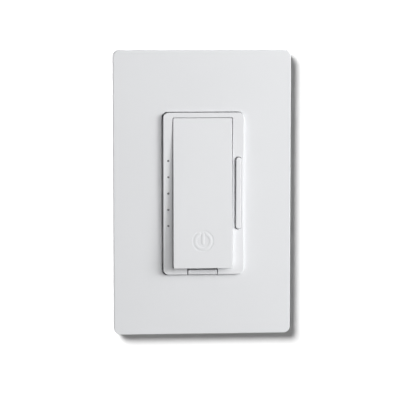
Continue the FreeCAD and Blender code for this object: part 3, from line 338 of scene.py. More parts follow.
class Surface:
    """Builds the node tree of one finish on Object coordinates."""

    # Marks per metre along each axis.
    CLOUDS = (34.0,) * 3
    PATCHES = (60.0,) * 3
    FLECKS = (2400.0, 600.0, 2400.0)
    TRACKS = (170.0,) * 3
    # Width of a copper track, where 1 is the step that TRACKS gives.
    TRACK_WIDTH = 0.05
    # The part of a noise's values that is spread over a range.
    NOISE_LOW = 0.3
    NOISE_HIGH = 0.7
    # Depth of the grooves between turns of wire, in metres, and how far they waver.
    WIRE_GROOVE = 1.2e-4
    WIRE_WAVER = 0.4
    # How dark a fleck of fibre and how light a track of copper is, against the finish's colour.
    FLECK_SHADE = 0.72
    TRACK_SHADE = 1.7
    NOISE_ROUGHNESS = 0.55
    COAT_ROUGHNESS = 0.12
    REFRACTION = 1.49
    DRAWN = 0.5

    def __init__(self, finish: Finish) -> None:
        """Open a new material.

        Args:
            finish: The finish that it shows.
        """
        self.finish = finish
        self.made = bpy.data.materials.new(finish.name)
        self.made.use_nodes = True
        self.tree = self.made.node_tree
        self.shader = self.tree.nodes["Principled BSDF"].inputs
        self.place = self.node("ShaderNodeTexCoord").outputs["Object"]

    def node(self, kind: str, **inputs: object) -> bpy.types.Node:
        """Add a node.

        Args:
            kind: The node's type.
            inputs: Values of its sockets by name, with _ for a space.

        Returns:
            The node.
        """
        made = self.tree.nodes.new(kind)
        for name, value in inputs.items():
            made.inputs[name.replace("_", " ")].default_value = value
        return made

    def link(self, start: Socket, end: Socket) -> None:
        """Join two sockets."""
        self.tree.links.new(start, end)

    def mapped(self, scale: Sequence[float], turn: Sequence[float] = (0.0, 0.0, 0.0)) -> Socket:
        """Scale and turn the place on the piece.

        Args:
            scale: Marks per metre along each axis.
            turn: Rotation about each axis, after the scale.

        Returns:
            The scaled and turned place.
        """
        mapping = self.node("ShaderNodeMapping", Scale=scale, Rotation=turn)
        self.link(self.place, mapping.inputs["Vector"])
        return mapping.outputs["Vector"]

    def noise(self, scale: Sequence[float], detail: float) -> Socket:
        """Add a noise field.

        Args:
            scale: Marks per metre along each axis.
            detail: How many finer layers it has.

        Returns:
            The field's value.
        """
        field = self.node("ShaderNodeTexNoise", Scale=1.0, Detail=detail, Roughness=self.NOISE_ROUGHNESS)
        self.link(self.mapped(scale), field.inputs["Vector"])
        return field.outputs["Fac"]

    def spread(self, value: Socket, low: float = 0.0, high: float = 1.0) -> Socket:
        """Spread a noise value over a range.

        Args:
            value: The noise value.
            low: Start of the range.
            high: End of the range.

        Returns:
            The value in the range.
        """
        ranged = self.node("ShaderNodeMapRange", From_Min=self.NOISE_LOW, From_Max=self.NOISE_HIGH,
                           To_Min=low, To_Max=high)
        self.link(value, ranged.inputs["Value"])
        return ranged.outputs["Result"]

    def shaded(self, factor: float) -> tuple[float, ...]:
        """Return the finish's colour, darker or lighter by a factor."""
        return tuple(min(1.0, part * factor) for part in self.finish.colour)

    def mix(self, value: Socket, first: Colour, second: Colour) -> Socket:
        """Mix two colours, each given as it is or by a socket.

        Args:
            value: 0 where the first colour shows and 1 where the second does.
            first: The first colour.
            second: The second colour.

        Returns:
            The mixed colour.
        """
        mixed = self.node("ShaderNodeMix")
        mixed.data_type = "RGBA"
        inputs = [socket for socket in mixed.inputs if socket.type == "RGBA"]
        for socket, colour in zip(inputs, (first, second)):
            if isinstance(colour, Socket):
                self.link(colour, socket)
            else:
                socket.default_value = (*colour, 1.0)
        self.link(value, next(socket for socket in mixed.inputs if socket.type == "VALUE"))
        return next(socket for socket in mixed.outputs if socket.type == "RGBA")

    def tint(self) -> Socket:
        """Vary the finish's colour a little from place to place.

        Returns:
            The colour.
        """
        change = self.finish.variation
        clouds = self.spread(self.noise(self.CLOUDS, detail=3.0))
        colour = self.mix(clouds, self.shaded(1 - change), self.shaded(1 + change))
        if self.finish.grain is Grain.MASKED:
            bricks = self.node("ShaderNodeTexBrick", Scale=1.0, Mortar_Size=self.TRACK_WIDTH)
            self.link(self.mapped(self.TRACKS, (math.pi / 2, 0.0, 0.0)), bricks.inputs["Vector"])
            colour = self.mix(bricks.outputs["Fac"], colour, self.shaded(self.TRACK_SHADE))
        if self.finish.grain is Grain.PRESSED:
            flecks = self.spread(self.noise(self.FLECKS, detail=5.0))
            colour = self.mix(flecks, self.shaded(self.FLECK_SHADE), self.finish.colour)
        return colour

    def wire(self) -> Socket:
        """Make turns of wire, one beside another.

        Returns:
            Their height.
        """
        waves = self.node("ShaderNodeTexWave", Scale=1.0, Distortion=self.WIRE_WAVER, Detail=1.0)
        self.link(self.mapped(self.finish.turns), waves.inputs["Vector"])
        return waves.outputs["Fac"]

    def uneven(self, fine: Socket, spread: float) -> Socket:
        """Vary the finish's roughness, finely and in patches.

        Args:
            fine: The grain's noise value.
            spread: How much the roughness varies.

        Returns:
            The roughness.
        """
        mean = self.finish.roughness
        patches = self.spread(self.noise(self.PATCHES, detail=2.0), mean - spread / 2, mean + spread / 2)
        total = self.node("ShaderNodeMath")
        total.operation = "ADD"
        self.link(self.spread(fine, -spread, spread), total.inputs[0])
        self.link(patches, total.inputs[1])
        return total.outputs["Value"]

    def dress(self) -> bpy.types.Material:
        """Set the shader up.

        Returns:
            The finished material.
        """
        finish, texture = self.finish, self.finish.grain.value
        values = {"Metallic": finish.metallic, "Coat Weight": finish.coat, "Coat Roughness": self.COAT_ROUGHNESS,
                  "Transmission Weight": finish.transmission, "IOR": self.REFRACTION}
        if finish.grain in (Grain.BRUSHED, Grain.ROLLED):
            values["Anisotropic"] = self.DRAWN
        for name, value in values.items():
            self.shader[name].default_value = value
        fine = self.noise(texture.scale, texture.detail)
        self.link(self.tint(), self.shader["Base Color"])
        self.link(self.uneven(fine, texture.spread), self.shader["Roughness"])
        wound = finish.grain is Grain.WOUND
        bump = self.node("ShaderNodeBump", Strength=texture.strength,
                         Distance=self.WIRE_GROOVE if wound else texture.depth * finish.relief)
        self.link(self.wire() if wound else fine, bump.inputs["Height"])
        self.link(bump.outputs["Normal"], self.shader["Normal"])
        return self.made


# The finish of each material slot in the record.
FINISHES: dict[str, Finish] = {
    "plate_plastic": Finish("satin_white_plate", (0.765, 0.773, 0.788), 0.5, Grain.MOULDED, variation=0.006),
    "bezel_plastic": Finish("satin_white_bezel", (0.775, 0.782, 0.797), 0.48, Grain.MOULDED, variation=0.005),
    "paddle_plastic": Finish("satin_white_paddle", (0.77, 0.778, 0.793), 0.45, Grain.MOULDED, variation=0.006),
    "rocker_plastic": Finish("satin_white_rocker", (0.79, 0.795, 0.81), 0.38, Grain.MOULDED, variation=0.005),
    "tab_plastic": Finish("satin_white_tab", (0.75, 0.757, 0.772), 0.42, Grain.MOULDED, variation=0.005),
    "frame_plastic": Finish("matt_white_frame", (0.78, 0.78, 0.765), 0.62, Grain.SPARK, variation=0.015),
    "housing_plastic": Finish("matt_black_housing", (0.022, 0.022, 0.024), 0.56, Grain.SPARK, relief=1.4,
        variation=0.12),
    "yoke_metal": Finish("brushed_aluminium", (0.74, 0.75, 0.76), 0.34, Grain.BRUSHED, metallic=1.0,
        variation=0.03),
    "zinc_steel": Finish("bright_zinc", (0.66, 0.67, 0.69), 0.28, Grain.PLATED, metallic=1.0, variation=0.06),
    "spring_steel": Finish("spring_strip", (0.5, 0.51, 0.53), 0.3, Grain.ROLLED, metallic=1.0, variation=0.04),
    "tin_steel": Finish("tinned_steel", (0.74, 0.74, 0.75), 0.36, Grain.PLATED, metallic=1.0, variation=0.05),
    "green_steel": Finish("green_dyed_plating", (0.05, 0.3, 0.09), 0.3, Grain.PLATED, metallic=0.85,
        variation=0.08),
    "fibre": Finish("red_brown_fibre", (0.29, 0.1, 0.05), 0.7, Grain.PRESSED, variation=0.08),
    "light_pipe_plastic": Finish("smoked_light_pipe", (0.34, 0.34, 0.35), 0.16, Grain.CLEAR, transmission=0.35),
    "button_plastic": Finish("matt_black_button", (0.03, 0.03, 0.032), 0.5, Grain.SPARK, variation=0.05),
    "brass": Finish("rolled_brass", (0.79, 0.59, 0.27), 0.3, Grain.ROLLED, metallic=1.0, variation=0.05),
    "copper": Finish("enamelled_copper", (0.62, 0.24, 0.1), 0.25, Grain.WOUND, metallic=0.9, coat=0.4,
        turns=(0.0, 900.0, 0.0)),
    "board": Finish("green_board", (0.015, 0.13, 0.05), 0.32, Grain.MASKED, coat=0.2, variation=0.05),
    "black_epoxy": Finish("black_epoxy", (0.02, 0.02, 0.022), 0.5, Grain.SINTERED, variation=0.08),
    "led_resin": Finish("pale_led_resin", (0.85, 0.85, 0.74), 0.22, Grain.CLEAR, transmission=0.2),
    "grey_pad": Finish("grey_silicone_pad", (0.42, 0.44, 0.46), 0.75, Grain.SPARK, variation=0.03),
    "ferrite": Finish("dark_ferrite", (0.05, 0.05, 0.055), 0.6, Grain.SINTERED, variation=0.1),
    "film_case": Finish("yellow_film_case", (0.75, 0.5, 0.05), 0.42, Grain.MOULDED, variation=0.03),
    "can_sleeve": Finish("dark_can_sleeve", (0.03, 0.035, 0.09), 0.28, Grain.MOULDED, coat=0.3, variation=0.05),
    "disc_coat": Finish("blue_disc_coat", (0.02, 0.09, 0.36), 0.32, Grain.SINTERED, coat=0.3, variation=0.06),
    "glass": Finish("fuse_glass", (0.9, 0.94, 0.94), 0.04, Grain.CLEAR, transmission=0.95),
}

# Nodes that keep the shape they have and only get their sharp edges rounded off, by this many millimetres.
EASED: dict[str, float] = {
    "yoke": 0.2, "plate_frame": 0.2, "screw_keepers": 0.08, "plate_screws": 0.08,
    "bezel_screws": 0.06, "housing_screws": 0.08, "board_screws": 0.06, "terminal_screws": 0.12,
    "ground_screw": 0.12, "terminal_lugs": 0.1, "clamp_plates": 0.1, "control_board": 0.05, "power_board": 0.05,
    "film_capacitor": 0.5, "electrolytic_capacitor": 0.3, "transformer_core": 0.12, "transformer_coil": 0.4,
    "header_block": 0.12, "button_bases": 0.1, "controller_chip": 0.08, "triac_case": 0.15, "led_chips": 0.06,
    "choke_core": 0.3, "surge_disc": 0.25, "fuse_caps": 0.1, "triac_pad": 0.04, "triac_leadframe": 0.08,
}


class Bench:
    """Takes shaped pieces to their places, and dresses the nodes that stay as they are."""

    # Faces of a copied node that meet at less than this many degrees become one.
    FLAT = 0.5
    # Edges of a copied node that are sharper than this many degrees are rounded, in this many facets.
    CRISP = 40.0
    EASED_STEPS = 2

    def __init__(self) -> None:
        """Read which body and slot each node has."""
        record = frame["record"]
        bodies = record["behaviour"]["bodies"]
        self.body_of: dict[str, str] = {node: body for body, nodes in bodies.items() for node in nodes}
        self.slot_of: dict[str, str] = {part["node"]: part["material_slot"] for part in record["subparts"]}
        self.replaced: set[str] = set()

    def finish_of(self, node: str) -> bpy.types.Material:
        """Return the material of a node's slot."""
        return FINISHES[self.slot_of[node]].material()

    def place(self, blank: Blank, name: str, node: str, replaces: Sequence[str] = (),
              bends: Optional[tuple[str, Vector, Vector]] = None) -> None:
        """Make an object of a shaped piece in the finish of a node, on the node's body unless bends is given.

        Args:
            blank: The shaped piece. It is used up.
            name: Name of the new object.
            node: The node whose body and slot it takes.
            replaces: Nodes that it stands for.
            bends: If given, the piece is put on no body and keeps its place. The body and the two points that it
                holds are not used.
        """
        bmesh.ops.recalc_face_normals(blank.mesh, faces=blank.mesh.faces[:])
        bmesh.ops.delete(blank.mesh, geom=[edge for edge in blank.mesh.edges if edge.is_wire], context="EDGES")
        blank.mesh.transform(BENCH)
        mesh = bpy.data.meshes.new(name)
        blank.mesh.to_mesh(mesh)
        blank.mesh.free()
        mesh.shade_smooth()
        mesh.set_sharp_from_angle(angle=math.radians(SHARP_SHADING))
        mesh.materials.append(self.finish_of(node))
        piece = bpy.data.objects.new(name, mesh)
        bpy.context.scene.collection.objects.link(piece)
        piece.modifiers.new("even_shading", "WEIGHTED_NORMAL").keep_sharp = True
        if bends:
            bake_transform(piece)
        else:
            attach(piece, self.body_of[node])
        if replaces:
            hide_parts(*replaces)
            self.replaced.update(replaces)
        LOG.info("%s: %d faces on %s", name, len(mesh.polygons), self.body_of[node])

    def copied(self, node: str) -> Blank:
        """Bring a merged copy of a node back to the bench.

        Args:
            node: The node.

        Returns:
            The copy.
        """
        blank = Blank()
        blank.mesh.from_mesh(frame["nodes"][node].data)
        blank.mesh.transform(BENCH.inverted())
        bmesh.ops.remove_doubles(blank.mesh, verts=blank.mesh.verts[:], dist=CLOSE)
        bmesh.ops.dissolve_limit(blank.mesh, angle_limit=math.radians(self.FLAT), use_dissolve_boundaries=False,
                                 verts=blank.mesh.verts[:], edges=blank.mesh.edges[:])
        return blank

    def ease_rest(self) -> None:
        """Replace the nodes that only need their sharp edges rounded off."""
        for node, width in EASED.items():
            blank = self.copied(node)
            crisp = [edge for edge in blank.sharp(lambda middle: True, self.CRISP) if edge.is_convex]
            blank.ease(crisp, width, self.EASED_STEPS, clamp=True)
            self.place(blank, f"{node}_dressed", node, [node])

    def dress_rest(self) -> None:
        """Give every node that still shows its finish."""
        for node, item in frame["nodes"].items():
            if node in self.replaced:
                continue
            item.data.materials.clear()
            item.data.materials.append(self.finish_of(node))
            LOG.info("%s: kept, in %s", node, self.slot_of[node])


@dataclass
class CoverPlate:
    """The screwless wall plate, a thin shell with a rounded front edge and one window."""

    width: float = 72.8
    height: float = 117.0
    depth: float = 6.4
    wall: float = 1.8
    corner: float = 2.6
    inner_corner: float = 1.0
    corner_steps: int = 12
    front_round: float = 0.32
    front_steps: int = 10
    window_round: float = 0.12
    rear_round: float = 0.25
    window: tuple[float, float] = (33.9, 67.24)
    window_corner: float = 2.52
    window_place: tuple[float, float] = (0.17, -0.25)
    outer_band: float = 3.0

    def build(self, bench: Bench) -> None:
        """Shape the plate and put it on the cover's body.

        Args:
            bench: Takes the piece to its place.
        """
        blank = Blank()
        loops = blank.rectangle(self.width, self.height, self.corner, steps=self.corner_steps)
        loops += self.window_loop(blank, 0.0)
        blank.slab(loops, self.depth)
        blank.ease(blank.level_edges(self.depth, self.is_outer), self.front_round, self.front_steps)
        blank.ease(blank.level_edges(self.depth, lambda middle: not self.is_outer(middle)), self.window_round)
        back = [face for face in blank.mesh.faces if face.normal.z < -FACING]
        bmesh.ops.delete(blank.mesh, geom=back, context="FACES_ONLY")
        window_wall = [face for face in blank.mesh.faces
                       if abs(face.normal.z) < 1 - FACING and not self.is_outer(face.calc_center_median())]
        bmesh.ops.delete(blank.mesh, geom=window_wall, context="FACES")
        self.line(blank)
        bench.place(blank, "wall_plate_shell", "wall_plate", ["wall_plate"])

    def is_outer(self, point: Vector) -> bool:
        """Tell whether a point lies near the outline, and so not at the window."""
        return abs(outline_gap(point, self.width, self.height, self.corner)) < self.outer_band

    def window_loop(self, blank: Blank, level: float) -> list[BMEdge]:
        """Draw the window's outline on one level."""
        return blank.rectangle(*self.window, self.window_corner, self.window_place, level, self.corner_steps)

    def line(self, blank: Blank) -> None:
        """Add the inner skin and close it to the outer one at the rear rim and in the window.

        Args:
            blank: The plate's outer skin.
        """
        mesh = blank.mesh
        inner = blank.rectangle(self.width - 2 * self.wall, self.height - 2 * self.wall, self.inner_corner,
                                steps=self.corner_steps)
        window = self.window_loop(blank, self.depth - self.wall)
        lifted = bmesh.ops.extrude_edge_only(mesh, edges=inner)["geom"]
        top = edges_of(lifted)
        bmesh.ops.translate(mesh, verts=verts_of(lifted), vec=(0.0, 0.0, self.depth - self.wall))
        bmesh.ops.bridge_loops(mesh, edges=top + window)
        rim = [edge for edge in mesh.edges if edge.is_boundary and abs(edge.verts[0].co.z) < CLOSE]
        bmesh.ops.bridge_loops(mesh, edges=rim)
        bmesh.ops.bridge_loops(mesh, edges=[edge for edge in mesh.edges if edge.is_boundary])
        bmesh.ops.recalc_face_normals(mesh, faces=mesh.faces[:])
        blank.ease(blank.level_edges(0.0), self.rear_round)


@dataclass(frozen=True)
class LightHoles:
    """Where the bezel's light holes lie, and how near to a hole's middle its rim's edges are."""

    across: float = -14.05
    count: int = 5
    pitch: float = 6.7
    radius: float = 0.45
    reach: float = 0.7

    def centres(self) -> list[tuple[float, float]]:
        """Return the holes' middles, from the lowest to the highest."""
        return [(self.across, up) for up in spaced(self.count, self.pitch)]

    def near(self, point: Vector) -> bool:
        """Tell whether a point lies on the rim of a hole."""
        return any(math.dist(point.xy, centre) < self.reach for centre in self.centres())


@dataclass
class Bezel:
    """The raised surround: a frame round the paddle with a slot, five light holes and a notch for the tab."""

    width: float = 33.1
    height: float = 66.6
    corner: float = 2.2
    place: tuple[float, float] = (0.46, -0.25)
    back: float = 1.5
    floor: float = 2.7
    front: float = 8.0
    overlap: float = 0.1
    recess: tuple[float, float] = (24.67, 61.98)
    recess_corner: float = 0.35
    recess_place: tuple[float, float] = (0.065, 0.09)
    slot: tuple[float, float] = (2.75, 30.0)
    slot_flat: float = 0.05
    slot_across: float = 14.645
    lights: LightHoles = LightHoles()
    notch_width: float = 12.6
    lower_bar: float = 2.75
    outline_band: float = 0.03
    outline_round: float = 0.2
    light_round: float = 0.08
    inner_round: float = 0.14

    def build(self, bench: Bench) -> None:
        """Shape the bezel and put it on the chassis.

        Args:
            bench: Takes the piece to its place.
        """
        blank = Blank()
        low = self.floor - self.overlap
        slot_corner = self.slot[0] / 2 - self.slot_flat
        loops = self.outline(blank, low)
        loops += blank.rectangle(*self.recess, self.recess_corner, self.recess_place, low, steps=3)
        loops += blank.rectangle(*self.slot, slot_corner, (self.slot_across, 0.0), low, steps=6)
        for centre in self.lights.centres():
            loops += blank.circle(self.lights.radius, centre, low, steps=20)
        blank.slab(loops, self.front)
        self.cut_notch(blank)
        blank.ease(blank.level_edges(self.front, self.on_outline), self.outline_round, steps=4)
        blank.ease(blank.level_edges(self.front, self.lights.near), self.light_round, steps=2)
        blank.ease(blank.level_edges(self.front, self.inside), self.inner_round, steps=4)
        blank.slab(self.outline(blank, self.back), self.floor)
        bench.place(blank, "bezel_surround", "bezel", ["bezel"])

    def outline(self, blank: Blank, level: float) -> list[BMEdge]:
        """Draw the bezel's outline on one level."""
        return blank.rectangle(self.width, self.height, self.corner, self.place, level, steps=10)

    def on_outline(self, point: Vector) -> bool:
        """Tell whether a point lies on the bezel's outline."""
        return abs(outline_gap(point, self.width, self.height, self.corner, self.place)) < self.outline_band

    def inside(self, point: Vector) -> bool:
        """Tell whether a point lies neither on the outline nor on a light hole."""
        return not self.on_outline(point) and not self.lights.near(point)

    def cut_notch(self, blank: Blank) -> None:
        """Open the lower bar for the tab, and close the two cut ends.

        Args:
            blank: The bezel's frame.
        """
        mesh = blank.mesh
        half = self.notch_width / 2
        bar_top = self.place[1] - self.height / 2 + self.lower_bar
        for side in SIDES:
            lower = [face for face in mesh.faces if any(vert.co.y < bar_top for vert in face.verts)]
            geom = dict.fromkeys(item for face in lower for item in (face, *face.edges, *face.verts))
            blank.split(geom, (side * half, 0.0, 0.0), TO_THE_RIGHT)
        bar = [face for face in mesh.faces if abs(face.calc_center_median().x) < half
               and all(vert.co.y < bar_top and abs(vert.co.x) < half + CLOSE for vert in face.verts)]
        bmesh.ops.delete(mesh, geom=bar, context="FACES")
        bmesh.ops.dissolve_degenerate(mesh, edges=mesh.edges[:], dist=CLOSE)
        bmesh.ops.holes_fill(mesh, edges=[edge for edge in mesh.edges if edge.is_boundary], sides=0)


@dataclass
class StandbyMark:
    """The raised standby mark, a broken ring with an upright bar, in a shallow dish.

    Half of the ring's gap is given in degrees.
    """

    ring: float = 3.12
    stroke: float = 1.3
    relief: float = 0.12
    sink: float = 0.02
    half_gap: float = 26.0
    bar: tuple[float, float] = (-0.8, 2.9)
    fullness: float = 0.6
    section_steps: int = 10
    ring_steps: int = 44
    end_steps: int = 12
    dish_steps: int = 72
    dish_floor: float = 4.37
    dish_rim: float = 4.46
    dish_depth: float = 0.08
    dish_above: float = 0.2

    def dish(self) -> Blank:
        """Shape what is carved out of the paddle's face round the mark.

        Returns:
            The dish, with its rim on the bench.
        """
        blank = Blank()
        flare = (self.dish_rim - self.dish_floor) * self.dish_above / self.dish_depth
        blank.rod(self.dish_floor, -self.dish_depth, self.dish_above, tip=self.dish_rim + flare,
                  steps=self.dish_steps)
        return blank

    def section(self, blank: Blank, side: float) -> list[Union[BMVert, BMEdge]]:
        """Draw the rounded section of the mark's stroke, across x, at a distance from the axis.

        Args:
            blank: The mark's mesh.
            side: Distance of the stroke's middle from the axis.

        Returns:
            The section's vertices and edges.
        """
        turns = [math.pi * step / self.section_steps for step in range(self.section_steps + 1)]
        points = [(self.stroke / 2 * math.cos(turn), math.sin(turn) ** self.fullness) for turn in turns]
        verts = [blank.mesh.verts.new((side + across, 0.0, self.relief * level - self.sink))
                 for across, level in (*points, ORIGIN)]
        return verts + [blank.mesh.edges.new(pair) for pair in zip(verts, verts[1:] + verts[:1])]

    def round_end(self, mesh: BMesh, section: Iterable[object], chosen: Callable[[Vector], bool],
                  centre: Sequence[float], angle: float) -> None:
        """Close a stroke with a rounded end, by turning one half of its section about its middle.

        Args:
            mesh: The mark's mesh.
            section: The section's vertices and edges.
            chosen: Says whether a point lies in the half that is turned.
            centre: The section's middle.
            angle: How far the half is turned.
        """
        items = list(section)
        verts = [vert for vert in verts_of(items) if chosen(vert.co)]
        edges = [edge for edge in edges_of(items) if all(vert in verts for vert in edge.verts)]
        bmesh.ops.spin(mesh, geom=verts + edges, cent=centre, axis=OUT_OF_THE_WALL, angle=angle,
                       steps=self.end_steps)

    def add_ring(self, blank: Blank) -> None:
        """Add the broken ring.

        Args:
            blank: The mark's mesh.
        """
        mesh = blank.mesh
        half_gap = math.radians(self.half_gap)
        first = self.section(blank, self.ring)
        start, end = math.pi / 2 + half_gap, math.pi / 2 - half_gap
        bmesh.ops.rotate(mesh, verts=verts_of(first), cent=(0.0, 0.0, 0.0),
                         matrix=Matrix.Rotation(start, 3, "Z"))
        last = bmesh.ops.spin(mesh, geom=first, cent=(0.0, 0.0, 0.0), angle=2 * math.pi - 2 * half_gap,
                              steps=self.ring_steps, axis=OUT_OF_THE_WALL)["geom_last"]
        for section, angle, turn in ((first, start, -math.pi), (last, end, math.pi)):
            middle = (self.ring * math.cos(angle), self.ring * math.sin(angle), 0.0)
            self.round_end(mesh, section, lambda point: point.xy.length > self.ring - CLOSE, middle, turn)

    def add_bar(self, blank: Blank) -> None:
        """Add the upright bar.

        Args:
            blank: The mark's mesh.
        """
        mesh = blank.mesh
        low, high = self.bar
        first = self.section(blank, 0.0)
        bmesh.ops.translate(mesh, verts=verts_of(first), vec=(0.0, low, 0.0))
        last = bmesh.ops.extrude_edge_only(mesh, edges=edges_of(first))["geom"]
        bmesh.ops.translate(mesh, verts=verts_of(last), vec=(0.0, high - low, 0.0))
        for section, level, turn in ((first, low, -math.pi), (last, high, math.pi)):
            self.round_end(mesh, section, lambda point: point.x > -CLOSE, (0.0, level, 0.0), turn)

    def build(self, bench: Bench, place: Matrix) -> None:
        """Shape the mark and lay it in its dish.

        Args:
            bench: Takes the piece to its place.
            place: Where the dish's rim lies on the face.
        """
        blank = Blank()
        self.add_ring(blank)
        self.add_bar(blank)
        bmesh.ops.remove_doubles(blank.mesh, verts=blank.mesh.verts[:], dist=CLOSE)
        blank.mesh.transform(place @ Matrix.Translation((0.0, 0.0, -self.dish_depth)))
        bench.place(blank, "paddle_mark", "paddle")


@dataclass
class Paddle:
    """The big wedge-shaped paddle, hollow behind, with its mark low on the face."""

    width: float = 24.2
    height: float = 61.5
    rise: float = 0.15
    face_top: float = 8.2
    face_foot: float = 11.18
    rear_top: float = 3.8
    rear_foot: float = 5.0
    wall: float = 1.2
    skin: float = 1.4
    corner: float = 0.6
    face_round: float = 0.2
    post_radius: float = 1.3
    post_tip: float = 2.4
    post_up: float = 7.3
    hinge_up: float = 29.3
    hinge_level: float = 5.0
    pin_radius: float = 0.95
    pin_length: float = 1.6
    pin_out: float = 0.2
    mark_up: float = -19.4

    def face_level(self, up: float) -> float:
        """Return how far the face stands out of the wall at a height."""
        share = (self.rise + self.height / 2 - up) / self.height
        return self.face_top + share * (self.face_foot - self.face_top)

    def build(self, bench: Bench) -> None:
        """Shape the paddle and its mark.

        Args:
            bench: Takes the pieces to their places.
        """
        blank = Blank()
        self.add_wedge(blank)
        self.hollow(blank)
        blank.rod(self.post_radius, self.post_tip, self.face_level(self.post_up) - self.skin / 2,
                  (0.0, self.post_up))
        for side in SIDES:
            middle = (side * (self.width / 2 + self.pin_out), self.hinge_up, self.hinge_level)
            place = Matrix.Translation(middle) @ Matrix.Rotation(math.pi / 2, 4, "Y")
            blank.rod(self.pin_radius, 0.0, self.pin_length, turn=place, steps=20)
        mark = StandbyMark()
        dish = mark.dish()
        dish.mesh.transform(self.mark_place())
        blank.carve(dish)
        bench.place(blank, "paddle_body", "paddle", ["paddle"])
        mark.build(bench, self.mark_place())

    def add_wedge(self, blank: Blank) -> None:
        """Add the wedge and round its edges.

        Args:
            blank: The paddle's mesh.
        """
        for vert in blank.block((self.width, self.height, 1.0), (0.0, self.rise, 0.0)):
            top = vert.co.y > 0
            if vert.co.z > 0:
                vert.co.z = self.face_top if top else self.face_foot
            else:
                vert.co.z = self.rear_top if top else self.rear_foot
        upright = blank.sharp(lambda middle: abs(abs(middle.x) - self.width / 2) < CLOSE
                              and abs(abs(middle.y - self.rise) - self.height / 2) < CLOSE)
        blank.ease(upright, self.corner, steps=5)
        front = max(blank.mesh.faces, key=lambda face: face.calc_center_median().z)
        blank.ease(list(front.edges), self.face_round, steps=4)

    def hollow(self, blank: Blank) -> None:
        """Sink the rear face into the wedge, down to the skin.

        Args:
            blank: The paddle's mesh.
        """
        rear = min(blank.mesh.faces, key=lambda face: face.calc_center_median().z)
        bmesh.ops.inset_region(blank.mesh, faces=[rear], thickness=self.wall, use_even_offset=True)
        sunk = bmesh.ops.extrude_discrete_faces(blank.mesh, faces=[rear])["faces"]
        for vert in {vert for face in sunk for vert in face.verts}:
            vert.co.z = self.face_level(vert.co.y) - self.skin

    def mark_place(self) -> Matrix:
        """Find where the mark lies on the sloping face.

        Returns:
            The place and slope of its middle.
        """
        slope = math.atan2(self.face_foot - self.face_top, self.height)
        middle = Matrix.Translation((0.0, self.mark_up, self.face_level(self.mark_up)))
        return middle @ Matrix.Rotation(-slope, 4, "X")


@dataclass
class PaddleSpring:
    """The leaf spring behind the paddle, which bends as the paddle is pressed."""

    foot: float = -5.0
    tip: float = -20.0
    cuts: int = 12

    def build(self, bench: Bench) -> None:
        """Divide the node's strip along its length, find its ends at the chassis and the paddle, and place it on
        no body.

        Args:
            bench: Takes the piece to its place.
        """
        blank = bench.copied("paddle_spring")
        for number in range(1, self.cuts):
            up = self.foot + (self.tip - self.foot) * number / self.cuts
            blank.split(blank.everything(), (0.0, up, 0.0), UP_THE_WALL)
        points = [vert.co for vert in blank.mesh.verts]
        root_level = max(point.z for point in points if point.y > self.foot)
        tip_level = max(point.z for point in points if point.y < self.tip + CLOSE)
        start = BENCH @ Vector((0.0, self.foot, root_level))
        end = BENCH @ Vector((0.0, self.tip, tip_level))
        bench.place(blank, "paddle_spring_leaf", "paddle_spring", ["paddle_spring"], ("paddle", start, end))


@dataclass
class DimmingRocker:
    """The slim bar beside the paddle."""

    across: float = 14.77
    width: float = 2.2
    length: float = 29.4
    end_flat: float = 0.02
    back: float = 4.2
    front: float = 8.9
    front_round: float = 0.36
    back_round: float = 0.15

    def build(self, bench: Bench) -> None:
        """Shape the rocker and put it on its body.

        Args:
            bench: Takes the piece to its place.
        """
        blank = Blank()
        outline = blank.rectangle(self.width, self.length, self.width / 2 - self.end_flat, (self.across, 0.0),
                                  self.back)
        blank.slab(outline, self.front)
        blank.ease(blank.level_edges(self.front), self.front_round, steps=6)
        blank.ease(blank.level_edges(self.back), self.back_round, steps=2)
        bench.place(blank, "rocker_bar", "dim_rocker", ["dim_rocker"])


@dataclass
class AirGapTab:
    """The small pull tab under the paddle, with the stem to its contact blade."""

    width: float = 11.9
    height: float = 1.9
    corner: float = 0.35
    low: float = -33.53
    back: float = 4.0
    front: float = 8.0
    front_round: float = 0.25
    stem: tuple[float, float] = (5.0, 1.4)
    stem_corner: float = 0.2
    stem_up: float = -32.25
    stem_overlap: float = 0.2
    blade: float = -8.4

    def build(self, bench: Bench) -> None:
        """Shape the tab and put it on its body.

        Args:
            bench: Takes the piece to its place.
        """
        blank = Blank()
        middle = (0.0, self.low + self.height / 2)
        blank.slab(blank.rectangle(self.width, self.height, self.corner, middle, self.back, steps=4), self.front)
        blank.ease(blank.level_edges(self.front), self.front_round, steps=4)
        stem = blank.rectangle(*self.stem, self.stem_corner, (0.0, self.stem_up), self.blade, steps=3)
        blank.slab(stem, self.back + self.stem_overlap)
        bench.place(blank, "airgap_pull_tab", "airgap_tab", ["airgap_tab"])


@dataclass
class LightColumn:
    """The five smoked lenses, on one rail behind the bezel."""

    holes: LightHoles = LightHoles()
    radius: float = 0.42
    front: float = 7.85
    tip_round: float = 0.16
    rail: tuple[float, float, float] = (1.8, 29.2, 1.2)
    rail_corner: float = 0.4
    rail_front: float = 4.2
    overlap: float = 0.1

    def build(self, bench: Bench) -> None:
        """Shape the light pipe and put it on the chassis.

        Args:
            bench: Takes the piece to its place.
        """
        blank = Blank()
        width, height, thickness = self.rail
        rail = blank.rectangle(width, height, self.rail_corner, (self.holes.across, 0.0),
                               self.rail_front - thickness, steps=4)
        blank.slab(rail, self.rail_front)
        for centre in self.holes.centres():
            blank.rod(self.radius, self.rail_front - self.overlap, self.front, centre, steps=20)
        blank.ease(blank.level_edges(self.front), self.tip_round)
        bench.place(blank, "light_lenses", "light_pipe", ["light_pipe"])


